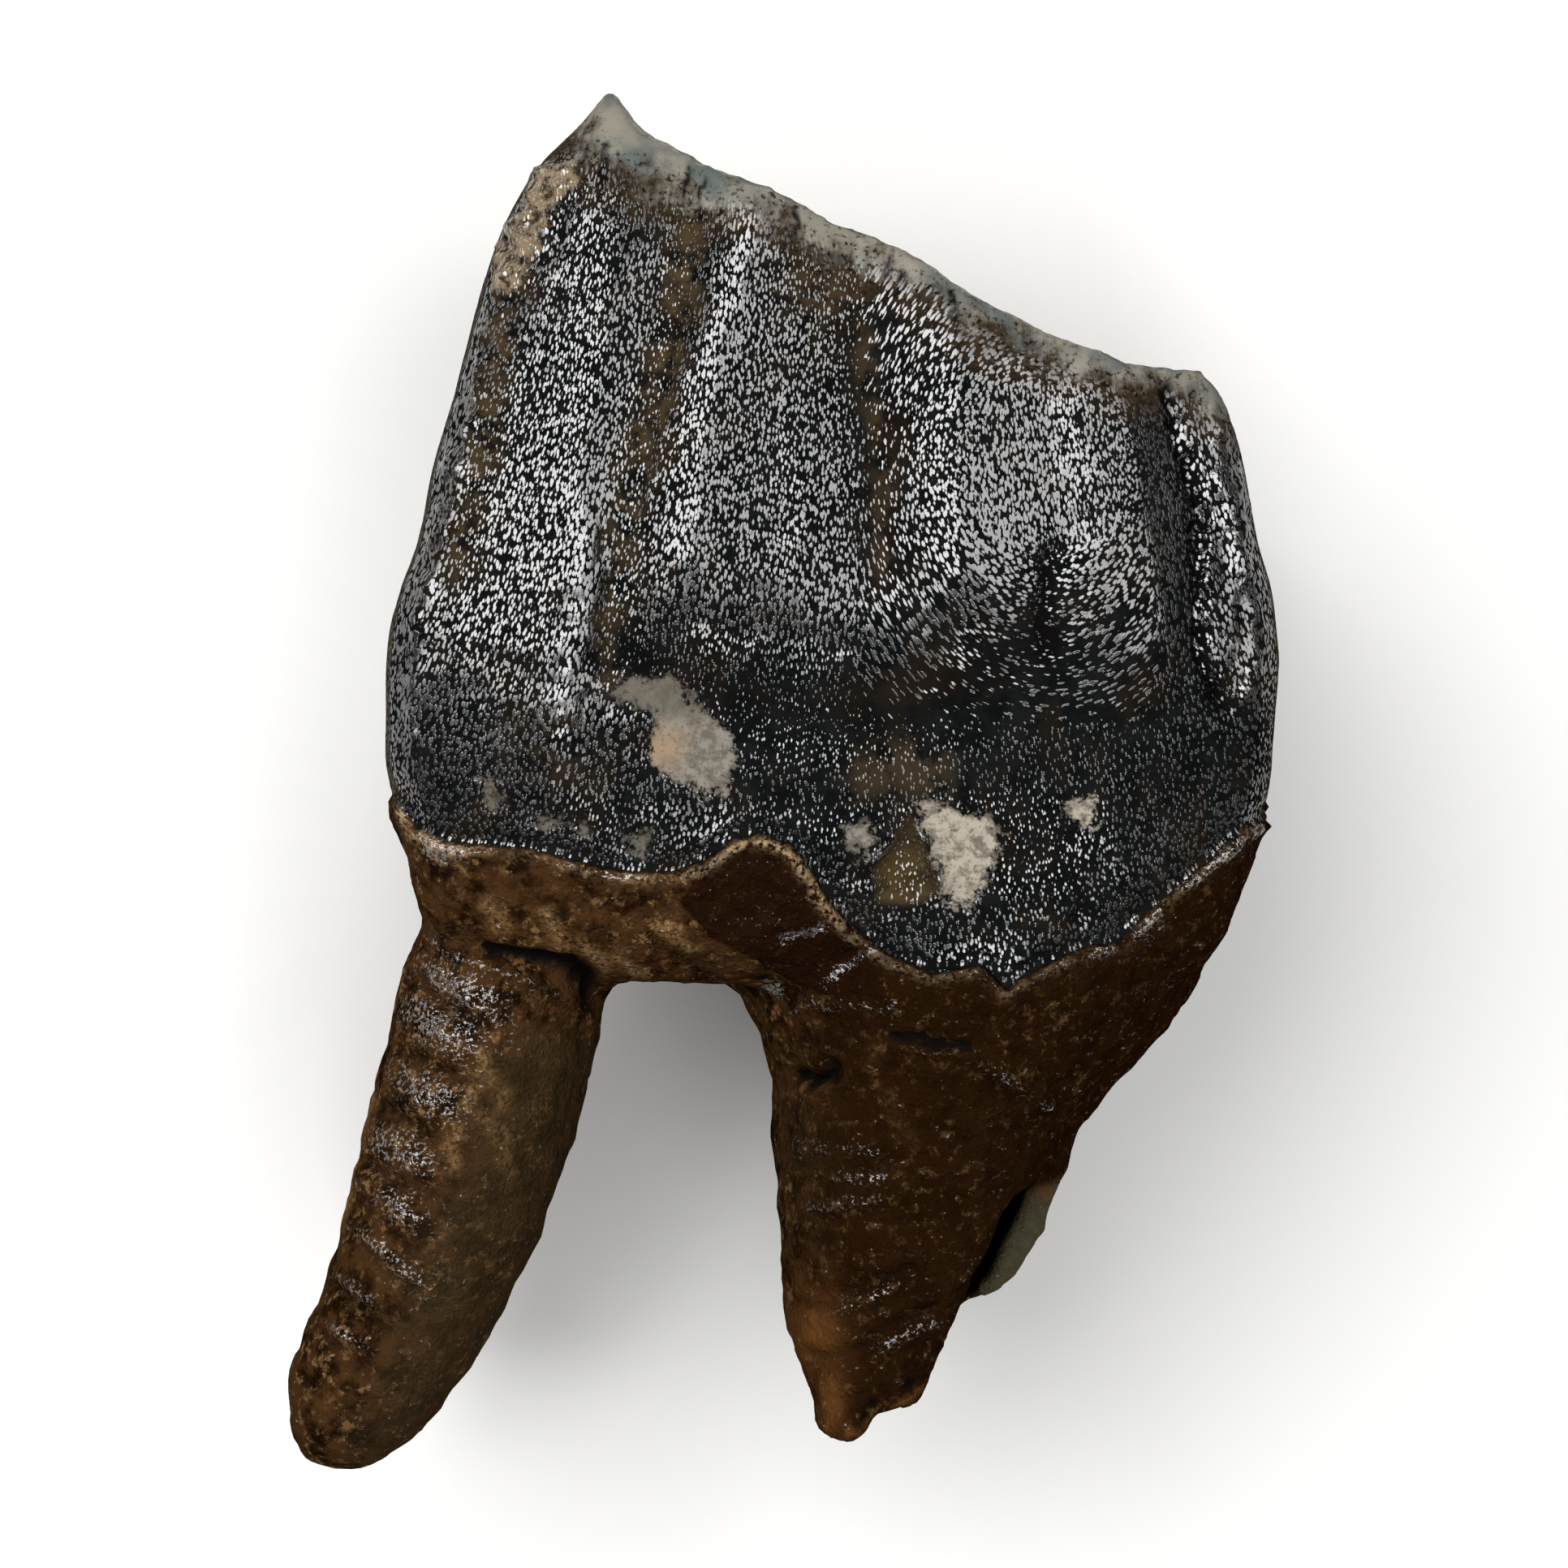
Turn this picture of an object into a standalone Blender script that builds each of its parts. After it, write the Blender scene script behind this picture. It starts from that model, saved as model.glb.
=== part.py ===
"""Fossil woolly rhino tooth: an upper molar lying on its lingual side, cheek side up.

Lengths below are in millimetres and become metres when the mesh is made. X runs from the distal
edge (-) to the mesial edge (+), Y from the root tips (-) to the worn edge (+), and Z is height
above the surface that the tooth lies on.
"""

import math

import bmesh
import bpy
import numpy as np
from mathutils import Vector

MM = 0.001

# Driving dimensions
CHEEK_HEIGHT = 47.0  # cheek wall above the surface, at its highest
REST_CUT = 0.35  # how much of the lingual lobes is worn flat where they touch the surface

# How finely the shapes are made
RING_POINTS = 72
ROOT_POINTS = 36
PIT_POINTS = 28
LEVEL_STEP = 0.8  # spacing of the crown's sections along Y
CURVE_STEPS = 12
WEAR_GRID = (48, 40)
VOXEL = 0.45
SMOOTHING = 4
SMOOTH_FACTOR = 0.5
TRIANGLES = 9400

# Where the roots grow out of the crown, the join is softened more: middle Y, half width, passes
NECK_Y = -12.5
NECK_HALF_WIDTH = 4.0
NECK_SMOOTHING = 24
NECK_LEAST_WEIGHT = 0.02

# Crown section seen from the worn end: across from -1 to 1, height from 0 (lingual) to 1 (cheek)
CROWN_OUTLINE = [
    (0.96, 0.93), (0.66, 0.985), (0.24, 1.0), (-0.2, 1.0), (-0.62, 0.99), (-0.93, 0.95),
    (-1.0, 0.84), (-0.97, 0.54), (-0.88, 0.27), (-0.76, 0.07), (-0.5, 0.0), (-0.22, 0.03),
    (-0.07, 0.17), (0.08, 0.03), (0.4, 0.0), (0.72, 0.06), (0.88, 0.27), (0.97, 0.54), (1.0, 0.82),
]
CHEEK_FROM = 0.88  # share of the height above which the outline belongs to the cheek wall
CHEEK_BLEND = 0.08

# Distal and mesial edges of the crown, as (Y, X)
CROWN_DISTAL = [
    (-13.0, -13.4), (-12.3, -16.2), (-11.3, -19.0), (-9.8, -21.2), (-8.4, -22.0), (-5.7, -22.5),
    (-2.7, -23.3), (0.3, -24.0), (3.3, -24.0), (7.8, -23.9), (10.8, -23.2), (13.8, -22.1),
    (18.3, -21.2), (22.8, -19.9), (27.3, -18.7), (31.8, -17.4), (34.8, -16.1), (36.8, -14.8),
    (38.5, -13.1), (40.0, -11.6), (41.6, -10.4), (46.6, -7.5),
]
CROWN_MESIAL = [
    (-13.0, 24.4), (-12.2, 25.8), (-10.7, 26.9), (-8.7, 27.7), (-5.7, 28.7), (-1.2, 29.8),
    (3.3, 30.2), (7.8, 30.4), (10.8, 30.0), (13.8, 29.2), (18.3, 28.3), (21.3, 27.6),
    (24.0, 27.0), (26.0, 25.6), (34.0, 21.0), (46.6, 15.0),
]
# Lingual and cheek surfaces of the crown, as (Y, Z)
CROWN_LINGUAL = [
    (-13.0, 11.0), (-11.0, 5.6), (-8.0, 1.8), (-5.0, 0.1), (-3.0, -0.2), (-1.0, -0.3), (1.0, -0.3),
    (17.0, -0.3), (19.0, -0.3), (27.0, 0.4), (46.6, 4.0),
]
CROWN_CHEEK = [
    (-13.0, CHEEK_HEIGHT - 8.0), (-12.3, CHEEK_HEIGHT - 6.2), (-11.0, CHEEK_HEIGHT - 4.6),
    (-8.5, CHEEK_HEIGHT - 3.1), (-4.5, CHEEK_HEIGHT - 1.7), (-1.0, CHEEK_HEIGHT - 0.8),
    (6.0, CHEEK_HEIGHT),
    (16.0, CHEEK_HEIGHT - 0.4), (28.0, CHEEK_HEIGHT - 1.7), (38.0, CHEEK_HEIGHT - 3.6),
    (46.6, CHEEK_HEIGHT - 5.6),
]

# Upright ribs (+) and folds (-) of the cheek wall: height, half width, centre line as (Y, X)
CHEEK_RIBS = [
    (0.5, 2.4, [(0.0, -13.8), (16.0, -12.4), (28.0, -11.4)]),
    (-0.6, 1.8, [(2.0, -11.2), (6.8, -11.0), (13.3, -10.0), (20.3, -8.8), (27.3, -6.8), (38.8, -5.3)]),
    (0.75, 2.8, [(10.0, -5.8), (20.3, -4.9), (27.3, -3.4), (33.3, -1.4), (38.0, -0.6)]),
    (-0.7, 2.8, [(8.0, 5.8), (13.3, 6.2), (20.3, 5.9), (27.3, 5.0), (34.0, 4.2)]),
    (0.85, 3.8, [(8.0, 11.6), (18.3, 10.6), (27.3, 10.6), (33.0, 10.2)]),
    (0.75, 3.2, [(6.0, 21.4), (20.3, 20.4), (30.0, 19.2)]),
    (-1.1, 1.2, [(4.0, 26.6), (12.3, 25.9), (18.3, 25.0), (24.3, 23.4)]),
]
RIB_FADE_START = -4.0  # a rib's root end, measured from its first Y
RIB_FADE_LENGTH = 7.0

# The sunken arc under the ribs, as (X, Y), and the swollen band at the crown's base
ARC_LINE = [(-10.3, 8.3), (-5.8, 6.3), (1.7, 4.8), (6.7, 4.3), (11.7, 5.5), (16.2, 8.3)]
ARC_DEPTH = 0.85
ARC_HALF_WIDTH = 3.0
ARC_MIDDLE = 3.0
ARC_REACH = 9.5
BAND_RISE = 0.6
BAND_HALF_WIDTH = 4.2
BAND_Y = -2.5

# Worn edge of the cheek wall, as (X, Y), and how far the worn surface falls, by depth behind it
WORN_EDGE = [
    (-26.0, 44.0), (-13.6, 43.4), (-11.0, 42.8), (-9.3, 40.5), (-7.3, 38.7), (-5.3, 37.8),
    (-3.3, 36.4), (-1.3, 35.7), (0.7, 34.8), (2.7, 33.7), (4.7, 33.2), (6.7, 32.1), (8.7, 31.1),
    (10.7, 29.5), (12.7, 28.3), (14.7, 27.4), (16.7, 26.5), (18.7, 25.7), (20.7, 25.2),
    (22.7, 25.3), (24.7, 25.8), (26.2, 25.6), (28.0, 23.8), (34.0, 19.0),
]
WORN_DROP = [(-4.0, 0.0), (0.3, 0.0), (2.0, 0.7), (5.0, 2.4), (11.0, 4.8), (22.0, 6.6), (48.0, 8.4)]
WORN_LEVELLING = 0.3  # share of the slant lost at the lingual side
WORN_MIDDLE_X = 2.0
WORN_SPAN_X = (-36.0, 40.0)
WORN_SPAN_Z = (-8.0, 56.0)
PAST_EVERYTHING = 60.0

# Pits in the worn surface: centre (X, Z), half sizes, turn in degrees, depth
WORN_PITS = [
    (4.0, 31.5, 5.4, 3.2, -14.0, 11.0),
    (-11.0, 23.5, 3.2, 5.6, 12.0, 12.0),
    (3.6, 15.5, 3.0, 7.4, -12.0, 13.0),
]
PIT_PROFILE = [(0.8, 1.0), (0.0, 1.0), (-0.5, 0.78), (-0.9, 0.45), (-1.0, 0.2)]  # of depth, of size

# Roots as (X, Y, Z) of a section's centre, half width across, half depth
DISTAL_ROOT = [
    (-16.2, -8.0, 31.0, 4.0, 6.0), (-16.6, -11.2, 32.0, 5.6, 7.6), (-16.8, -12.6, 32.4, 6.2, 8.1),
    (-17.0, -13.6, 32.6, 6.5, 8.3), (-17.5, -16.2, 32.6, 6.35, 8.1), (-18.8, -21.2, 32.5, 6.3, 7.8),
    (-20.4, -26.8, 32.1, 6.05, 7.3), (-21.8, -30.8, 31.8, 5.5, 6.8), (-23.4, -34.2, 31.5, 5.2, 6.3),
    (-25.1, -37.0, 31.2, 4.9, 5.8), (-26.4, -39.4, 31.0, 4.3, 5.2), (-27.3, -41.4, 30.9, 3.2, 4.2),
    (-27.7, -42.8, 30.9, 1.5, 2.1),
]
DISTAL_INNER_ROOT = [
    (-15.5, -6.0, 13.0, 5.0, 6.5), (-17.0, -12.0, 12.6, 5.6, 6.6), (-18.9, -19.0, 11.0, 5.4, 6.1),
    (-20.4, -26.0, 9.6, 4.9, 5.4), (-21.8, -31.0, 8.8, 4.2, 4.5), (-22.8, -34.0, 8.4, 3.1, 3.3),
    (-23.2, -35.4, 8.3, 1.7, 1.9),
]
MESIAL_INNER_ROOT = [
    (13.0, -7.0, 14.0, 9.0, 9.0), (11.6, -13.0, 13.4, 7.6, 8.4), (9.6, -19.0, 12.4, 6.2, 7.2),
    (8.2, -25.0, 11.2, 5.0, 5.9), (7.4, -29.0, 10.4, 4.0, 4.6), (7.0, -31.6, 10.0, 2.9, 3.2),
    (6.8, -32.8, 9.8, 1.5, 1.7),
]
# The broken root's sections: Y, left X, right X, low Z, high Z
MESIAL_ROOT = [
    (-4.0, 2.0, 26.0, 10.0, 43.4), (-9.0, -2.2, 27.3, 10.0, 44.4), (-13.2, -2.7, 25.8, 11.0, 43.6),
    (-16.2, -1.6, 23.7, 13.0, 42.6), (-19.2, -0.4, 20.8, 15.0, 41.5), (-22.2, -0.5, 18.4, 16.8, 40.5),
    (-25.2, -0.1, 17.5, 18.4, 39.6), (-28.2, 0.1, 16.4, 19.8, 38.8), (-31.2, 0.1, 15.2, 21.4, 38.0),
    (-34.2, 0.5, 12.6, 23.0, 37.2), (-36.2, 1.2, 10.8, 24.4, 36.7), (-38.4, 2.0, 9.6, 26.0, 36.2),
    (-42.6, 2.4, 7.8, 28.0, 35.4),
]
OVAL_FLATNESS = 0.85  # below 1 the sides of the broken root's sections are flatter than an ellipse
ROOT_SPLIT_Z = 30.5  # height that parts the broken root's near wall from its far wall
# The hollow inside it, which lies nearer to its mesial side: Y, left X, right X, low Z, high Z
CANAL = [
    (-16.8, 13.5, 17.0, 22.0, 34.0), (-19.2, 11.2, 18.4, 18.2, 38.2), (-22.2, 9.0, 16.3, 19.2, 37.8),
    (-25.2, 8.1, 15.4, 20.8, 37.2), (-28.2, 7.1, 14.2, 22.2, 36.4), (-31.2, 6.1, 12.8, 23.8, 35.7),
    (-34.2, 5.2, 10.5, 25.2, 35.0), (-36.2, 4.5, 8.9, 26.4, 34.6), (-38.4, 4.2, 7.8, 27.6, 34.2),
    (-60.0, 4.0, 7.0, 28.6, 33.6),
]

# Break lines seen from the cheek side, as (X, Y): the near wall's lost corner, the far wall, the tip
NEAR_WALL_BREAK = [
    (20.3, -18.6), (17.6, -21.4), (16.6, -24.4), (15.2, -25.6), (14.0, -26.2), (13.3, -28.0),
    (11.6, -31.4), (10.9, -33.4), (16.0, -36.0), (24.0, -30.0), (24.0, -18.6),
]
FAR_WALL_BREAK = [
    (11.2, -33.0), (12.7, -32.5), (14.0, -31.6), (15.6, -29.6), (24.0, -29.0), (24.0, -44.0),
    (9.4, -44.0), (9.3, -40.0), (9.2, -37.8), (9.6, -36.2), (10.3, -34.4),
]
TIP_BREAK = [
    (0.6, -40.0), (2.2, -40.3), (3.2, -40.9), (4.4, -41.3), (5.4, -40.6), (5.7, -39.6), (6.8, -39.4),
    (8.3, -39.0), (9.2, -37.8), (11.0, -37.0), (12.0, -47.0), (0.0, -47.0),
]

# Hollow under the crown between the roots: centre and half sizes
FURCATION_CENTRE = (-6.5, -18.2, 24.0)
FURCATION_SIZE = (6.6, 6.3, 14.0)
FURCATION_DIVISIONS = (32, 20)


def smooth_table(pairs):
    """A function that runs smoothly through (key, value) pairs and stays level past their ends."""
    keys = np.array([key for key, _ in pairs], float)
    values = np.array([value for _, value in pairs], float)
    slopes = np.gradient(values, keys)

    def at(where):
        where = np.clip(where, keys[0], keys[-1])
        left = np.clip(np.searchsorted(keys, where) - 1, 0, len(keys) - 2)
        span = keys[left + 1] - keys[left]
        t = (where - keys[left]) / span
        rise = values[left + 1] - values[left]
        return (
            values[left]
            + rise * (3 * t**2 - 2 * t**3)
            + span * (slopes[left] * (t - 2 * t**2 + t**3) + slopes[left + 1] * (t**3 - t**2))
        )

    return at


def bell(distance, half_width):
    return np.exp(-((distance / half_width) ** 2))


def closed_curve(points, count):
    """Points evenly spread along a closed curve through the given ones."""
    points = np.array(points, float)
    dense = []
    for index in range(len(points)):
        a, b, c, d = (points[(index + step) % len(points)] for step in (-1, 0, 1, 2))
        for t in np.linspace(0, 1, CURVE_STEPS, endpoint=False):
            bend = (2 * a - 5 * b + 4 * c - d) * t**2 + (3 * b - a - 3 * c + d) * t**3
            dense.append(0.5 * (2 * b + (c - a) * t + bend))
    dense = np.array(dense + [dense[0]])
    along = np.concatenate([[0], np.cumsum(np.linalg.norm(np.diff(dense, axis=0), axis=1))])
    wanted = np.linspace(0, along[-1], count, endpoint=False)
    return np.column_stack([np.interp(wanted, along, dense[:, axis]) for axis in range(2)])


def full_circle(count):
    return np.linspace(0, 2 * math.pi, count, endpoint=False)


def new_object(name, mesh_data, collection):
    mesh = bpy.data.meshes.new(name)
    bmesh.ops.recalc_face_normals(mesh_data, faces=mesh_data.faces)
    mesh_data.to_mesh(mesh)
    mesh_data.free()
    made = bpy.data.objects.new(name, mesh)
    collection.objects.link(made)
    return made


def loft(name, rings, collection):
    """A closed body through rings of points in millimetres, with a flat cap at each end."""
    mesh_data = bmesh.new()
    rows = [[mesh_data.verts.new(Vector(point) * MM) for point in ring] for ring in rings]
    count = len(rows[0])
    for low, high in zip(rows, rows[1:]):
        for index in range(count):
            following = (index + 1) % count
            mesh_data.faces.new((low[index], low[following], high[following], high[index]))
    mesh_data.faces.new(rows[0])
    mesh_data.faces.new(rows[-1])
    return new_object(name, mesh_data, collection)


def cheek_relief(x, y):
    """Ribs, folds, the sunken arc and the base band of the cheek wall, in millimetres of height."""
    relief = 0.0
    for height, half_width, line in CHEEK_RIBS:
        centre = smooth_table(line)(y)
        fade = np.clip((y - line[0][0] - RIB_FADE_START) / RIB_FADE_LENGTH, 0, 1)
        relief += height * fade * bell(x - centre, half_width)
    arc_y = smooth_table(ARC_LINE)(x)
    arc_fade = bell(x - ARC_MIDDLE, ARC_REACH)
    relief -= ARC_DEPTH * arc_fade * bell(y - arc_y, ARC_HALF_WIDTH)
    relief += BAND_RISE * arc_fade * bell(y - BAND_Y, BAND_HALF_WIDTH)
    return relief


def make_crown(collection):
    outline = closed_curve(CROWN_OUTLINE, RING_POINTS)
    outline[:, 0] /= np.abs(outline[:, 0]).max()
    distal, mesial = smooth_table(CROWN_DISTAL), smooth_table(CROWN_MESIAL)
    lingual, cheek = smooth_table(CROWN_LINGUAL), smooth_table(CROWN_CHEEK)
    rings = []
    for y in np.arange(CROWN_DISTAL[0][0], CROWN_DISTAL[-1][0], LEVEL_STEP):
        x = distal(y) + (outline[:, 0] + 1) / 2 * (mesial(y) - distal(y))
        z = lingual(y) + outline[:, 1] * (cheek(y) - lingual(y))
        on_cheek = np.clip((outline[:, 1] - CHEEK_FROM) / CHEEK_BLEND, 0, 1)
        z = z + cheek_relief(x, y) * on_cheek
        rings.append([(px, y, pz) for px, pz in zip(x, z)])
    return loft("crown", rings, collection)


def make_round_root(name, sections, collection):
    """A tapering root whose sections lie square to its own centre line."""
    centres = np.array([section[:3] for section in sections], float)
    runs = np.gradient(centres, axis=0)
    rings = []
    for centre, run, (_, _, _, half_width, half_depth) in zip(centres, runs, sections):
        run = run / np.linalg.norm(run)
        across = np.cross((0.0, 0.0, 1.0), run)
        across /= np.linalg.norm(across)
        up = np.cross(run, across)
        rings.append([
            centre + across * half_width * math.cos(angle) + up * half_depth * math.sin(angle)
            for angle in full_circle(ROOT_POINTS)
        ])
    return loft(name, rings, collection)


def flattened_ring(y, left, right, low, high):
    """An oval section with slightly flat sides, as the broken root has."""
    half_width, half_depth = (right - left) / 2, (high - low) / 2
    ring = []
    for angle in full_circle(ROOT_POINTS):
        c, s = math.cos(angle), math.sin(angle)
        ring.append((
            (left + right) / 2 + half_width * math.copysign(abs(c) ** OVAL_FLATNESS, c),
            y,
            (low + high) / 2 + half_depth * math.copysign(abs(s) ** OVAL_FLATNESS, s),
        ))
    return ring


def prism(name, outline, low, high, collection):
    """A straight block with an outline in X and Y, between two heights."""
    return loft(name, [[(x, y, z) for x, y in outline] for z in (low, high)], collection)


def worn_surface(x, z):
    """Height along Y of the worn surface."""
    edge = smooth_table(WORN_EDGE)(x)
    middle = smooth_table(WORN_EDGE)(np.float64(WORN_MIDDLE_X))
    behind = smooth_table(CROWN_CHEEK)(edge) - z
    lingual_share = np.clip(behind / CHEEK_HEIGHT, 0, 1)
    slant = edge + (middle - edge) * WORN_LEVELLING * lingual_share
    return slant - smooth_table(WORN_DROP)(behind)


def make_wear_cutter(collection):
    """Everything beyond the worn surface, as a block with that surface as its lower face."""
    mesh_data = bmesh.new()
    bmesh.ops.create_grid(mesh_data, x_segments=WEAR_GRID[0], y_segments=WEAR_GRID[1], size=1.0)
    for vertex in mesh_data.verts:
        x = np.interp(vertex.co.x, (-1, 1), WORN_SPAN_X)
        z = np.interp(vertex.co.y, (-1, 1), WORN_SPAN_Z)
        vertex.co = Vector((x, float(worn_surface(x, z)), z)) * MM
    raised = bmesh.ops.extrude_face_region(mesh_data, geom=mesh_data.faces[:])
    for item in raised["geom"]:
        if isinstance(item, bmesh.types.BMVert):
            item.co.y = PAST_EVERYTHING * MM
    return new_object("worn_away", mesh_data, collection)


def make_pit(index, pit, collection):
    """A tapering oval pit that runs down from the worn surface."""
    x, z, half_x, half_z, turn, depth = pit
    mouth = float(worn_surface(x, z))
    cos_turn, sin_turn = math.cos(math.radians(turn)), math.sin(math.radians(turn))
    rings = []
    for level, size in PIT_PROFILE:
        ring = []
        for angle in full_circle(PIT_POINTS):
            a, b = half_x * size * math.cos(angle), half_z * size * math.sin(angle)
            ring.append((
                x + a * cos_turn - b * sin_turn,
                mouth + level * depth,
                z + a * sin_turn + b * cos_turn,
            ))
        rings.append(ring)
    return loft(f"pit_{index}", rings, collection)


def make_furcation(collection):
    mesh_data = bmesh.new()
    around, along = FURCATION_DIVISIONS
    bmesh.ops.create_uvsphere(mesh_data, u_segments=around, v_segments=along, radius=1.0)
    for vertex in mesh_data.verts:
        vertex.co = Vector(
            centre + unit * size
            for centre, unit, size in zip(FURCATION_CENTRE, vertex.co, FURCATION_SIZE)
        ) * MM
    return new_object("furcation", mesh_data, collection)


def cut_or_join(target, other, operation):
    modifier = target.modifiers.new(f"{operation.lower()}_{other.name}", "BOOLEAN")
    modifier.operation = operation
    modifier.solver = "EXACT"
    modifier.object = other


def as_helper(made):
    made.hide_render = True
    made.display_type = "WIRE"


def make_mesial_root(collection):
    """The root that is broken open: a shell with its near wall's lower corner gone."""
    root = loft("mesial_root", [flattened_ring(*section) for section in MESIAL_ROOT], collection)
    cutters = [
        loft("canal", [flattened_ring(*section) for section in CANAL], collection),
        prism("near_break", NEAR_WALL_BREAK, ROOT_SPLIT_Z, PAST_EVERYTHING, collection),
        prism("far_break", FAR_WALL_BREAK, 0.0, PAST_EVERYTHING, collection),
        prism("tip_break", TIP_BREAK, 0.0, PAST_EVERYTHING, collection),
    ]
    for cutter in cutters:
        as_helper(cutter)
        cut_or_join(root, cutter, "DIFFERENCE")
    return root


def enamel_material():
    material = bpy.data.materials.new("fossil_enamel")
    material.use_nodes = True
    shader = material.node_tree.nodes["Principled BSDF"]
    shader.inputs["Base Color"].default_value = (0.075, 0.06, 0.045, 1.0)
    shader.inputs["Roughness"].default_value = 0.35
    shader.inputs["Metallic"].default_value = 0.0
    return material


def evaluated_mesh(made):
    graph = bpy.context.evaluated_depsgraph_get()
    return bpy.data.meshes.new_from_object(made.evaluated_get(graph))


def soften_neck(tooth):
    """Blends the crown's base into the roots, most strongly at the neck's middle."""
    neck = tooth.vertex_groups.new(name="neck")
    for vertex in tooth.data.vertices:
        weight = float(bell(vertex.co.y / MM - NECK_Y, NECK_HALF_WIDTH))
        if weight > NECK_LEAST_WEIGHT:
            neck.add([vertex.index], weight, "REPLACE")
    blend = tooth.modifiers.new("blend_neck", "SMOOTH")
    blend.vertex_group = neck.name
    blend.factor = SMOOTH_FACTOR
    blend.iterations = NECK_SMOOTHING


def settle(mesh):
    """Sets the tooth on the surface with its lobes worn flat, centred over the origin."""
    points = np.empty(len(mesh.vertices) * 3)
    mesh.vertices.foreach_get("co", points)
    points = points.reshape(-1, 3)
    low, high = points.min(axis=0), points.max(axis=0)
    points[:, 0] -= (low[0] + high[0]) / 2
    points[:, 1] -= (low[1] + high[1]) / 2
    points[:, 2] = np.maximum(points[:, 2] - low[2] - REST_CUT * MM, 0.0)
    mesh.vertices.foreach_set("co", points.ravel())
    mesh.update()


def make_solid(helpers):
    """Crown and roots joined, worn and broken, with evenly softened edges."""
    body = make_crown(helpers)
    roots = [
        make_round_root("distal_root", DISTAL_ROOT, helpers),
        make_round_root("distal_inner_root", DISTAL_INNER_ROOT, helpers),
        make_round_root("mesial_inner_root", MESIAL_INNER_ROOT, helpers),
        make_mesial_root(helpers),
    ]
    for root in roots:
        as_helper(root)
        cut_or_join(body, root, "UNION")
    hollows = [make_wear_cutter(helpers), make_furcation(helpers)]
    hollows += [make_pit(index, pit, helpers) for index, pit in enumerate(WORN_PITS)]
    for hollow in hollows:
        as_helper(hollow)
        cut_or_join(body, hollow, "DIFFERENCE")
    remesh = body.modifiers.new("even_out", "REMESH")
    remesh.mode = "VOXEL"
    remesh.voxel_size = VOXEL * MM
    soften = body.modifiers.new("soften", "SMOOTH")
    soften.factor = SMOOTH_FACTOR
    soften.iterations = SMOOTHING
    as_helper(body)
    return body


def main():
    for existing in list(bpy.data.objects):
        bpy.data.objects.remove(existing)
    tooth_parts = bpy.data.collections.new("woolly_rhino_tooth")
    helpers = bpy.data.collections.new("helpers")
    for collection in (tooth_parts, helpers):
        bpy.context.scene.collection.children.link(collection)

    tooth = bpy.data.objects.new("tooth", evaluated_mesh(make_solid(helpers)))
    tooth_parts.objects.link(tooth)
    soften_neck(tooth)
    tooth.data.calc_loop_triangles()
    thin_out = tooth.modifiers.new("thin_out", "DECIMATE")
    thin_out.use_collapse_triangulate = True
    thin_out.ratio = TRIANGLES / len(tooth.data.loop_triangles)
    thinned = evaluated_mesh(tooth)
    tooth.modifiers.clear()
    tooth.vertex_groups.clear()
    tooth.data = thinned
    settle(thinned)
    thinned.materials.clear()
    thinned.materials.append(enamel_material())
    thinned.shade_smooth()


main()
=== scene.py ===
"""Fossil woolly rhino tooth, dressed: wrinkled blackish enamel, a pale worn edge, brown cement and roots, with
painted shade in folds, cracks and pits.

Lengths are in millimetres until a mesh is made. The cheek side faces up. What is drawn on it is placed
as the camera sees it: U runs across the picture and V up it, from the middle of the picture, in the plane
where the picture shows 20 pixels to a millimetre.
"""

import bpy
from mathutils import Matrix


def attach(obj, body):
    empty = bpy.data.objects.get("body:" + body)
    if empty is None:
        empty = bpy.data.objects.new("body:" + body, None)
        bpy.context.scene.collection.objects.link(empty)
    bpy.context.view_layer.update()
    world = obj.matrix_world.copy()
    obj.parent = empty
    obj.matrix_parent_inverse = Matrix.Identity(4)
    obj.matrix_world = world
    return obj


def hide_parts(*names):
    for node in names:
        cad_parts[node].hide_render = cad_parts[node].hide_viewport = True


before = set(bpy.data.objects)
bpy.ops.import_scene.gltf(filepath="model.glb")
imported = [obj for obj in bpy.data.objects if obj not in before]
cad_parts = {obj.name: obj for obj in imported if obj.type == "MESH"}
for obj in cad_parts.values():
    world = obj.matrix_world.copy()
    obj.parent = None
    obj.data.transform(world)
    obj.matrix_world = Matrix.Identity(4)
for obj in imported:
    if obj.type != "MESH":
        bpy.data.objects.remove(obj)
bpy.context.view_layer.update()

import math

import bmesh
import bpy
import numpy as np
from mathutils import Vector, kdtree, noise
from mathutils.bvhtree import BVHTree

MM = 0.001

# The camera looks straight down. A picture of this width is 96.6 mm across in the plane it is set to.
PICTURE_WIDTH = 96.6
PICTURE_PLANE_Z = 30.0
CAMERA_DISTANCE = 800.0
CAMERA_X = 0.2
CAMERA_Y = 0.4
CAMERA_CLIP = 0.05
SENSOR_WIDTH = 36.0

# How finely the surface is made, and how it is softened
VOXEL = 0.62
FIRST_SMOOTHING = 3
LAST_SMOOTHING = 3
SMOOTH_FACTOR = 0.5
HOLD = 0.85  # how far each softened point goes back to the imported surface
FINE_SIDE_NORMAL = 0.3  # faces that look up more than this are made twice as fine
FINE_SIDE_LOWEST = 24.0
LYING_Z = 0.05  # points lower than this touch the floor and keep their height

# The cheek side fades in between these heights, and between these upward parts of the normal
CHEEK_Z = (24.0, 30.0)
CHEEK_NORMAL = (0.05, 0.4)
OUTLINE_NORMAL = 0.22  # the outline is where the normal's upward part is about this or less
OUTSIDE = -9.0  # what a patch's field is away from the cheek side
LINE_WAVE = 0.45  # how far drawn lines stray
SOFT_WAVE = 0.35  # the share of LINE_WAVE that folds and gleams of the roots have
LEVEL_LEAN = (1.0, 0.0)  # an oval that lies level in the picture

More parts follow.
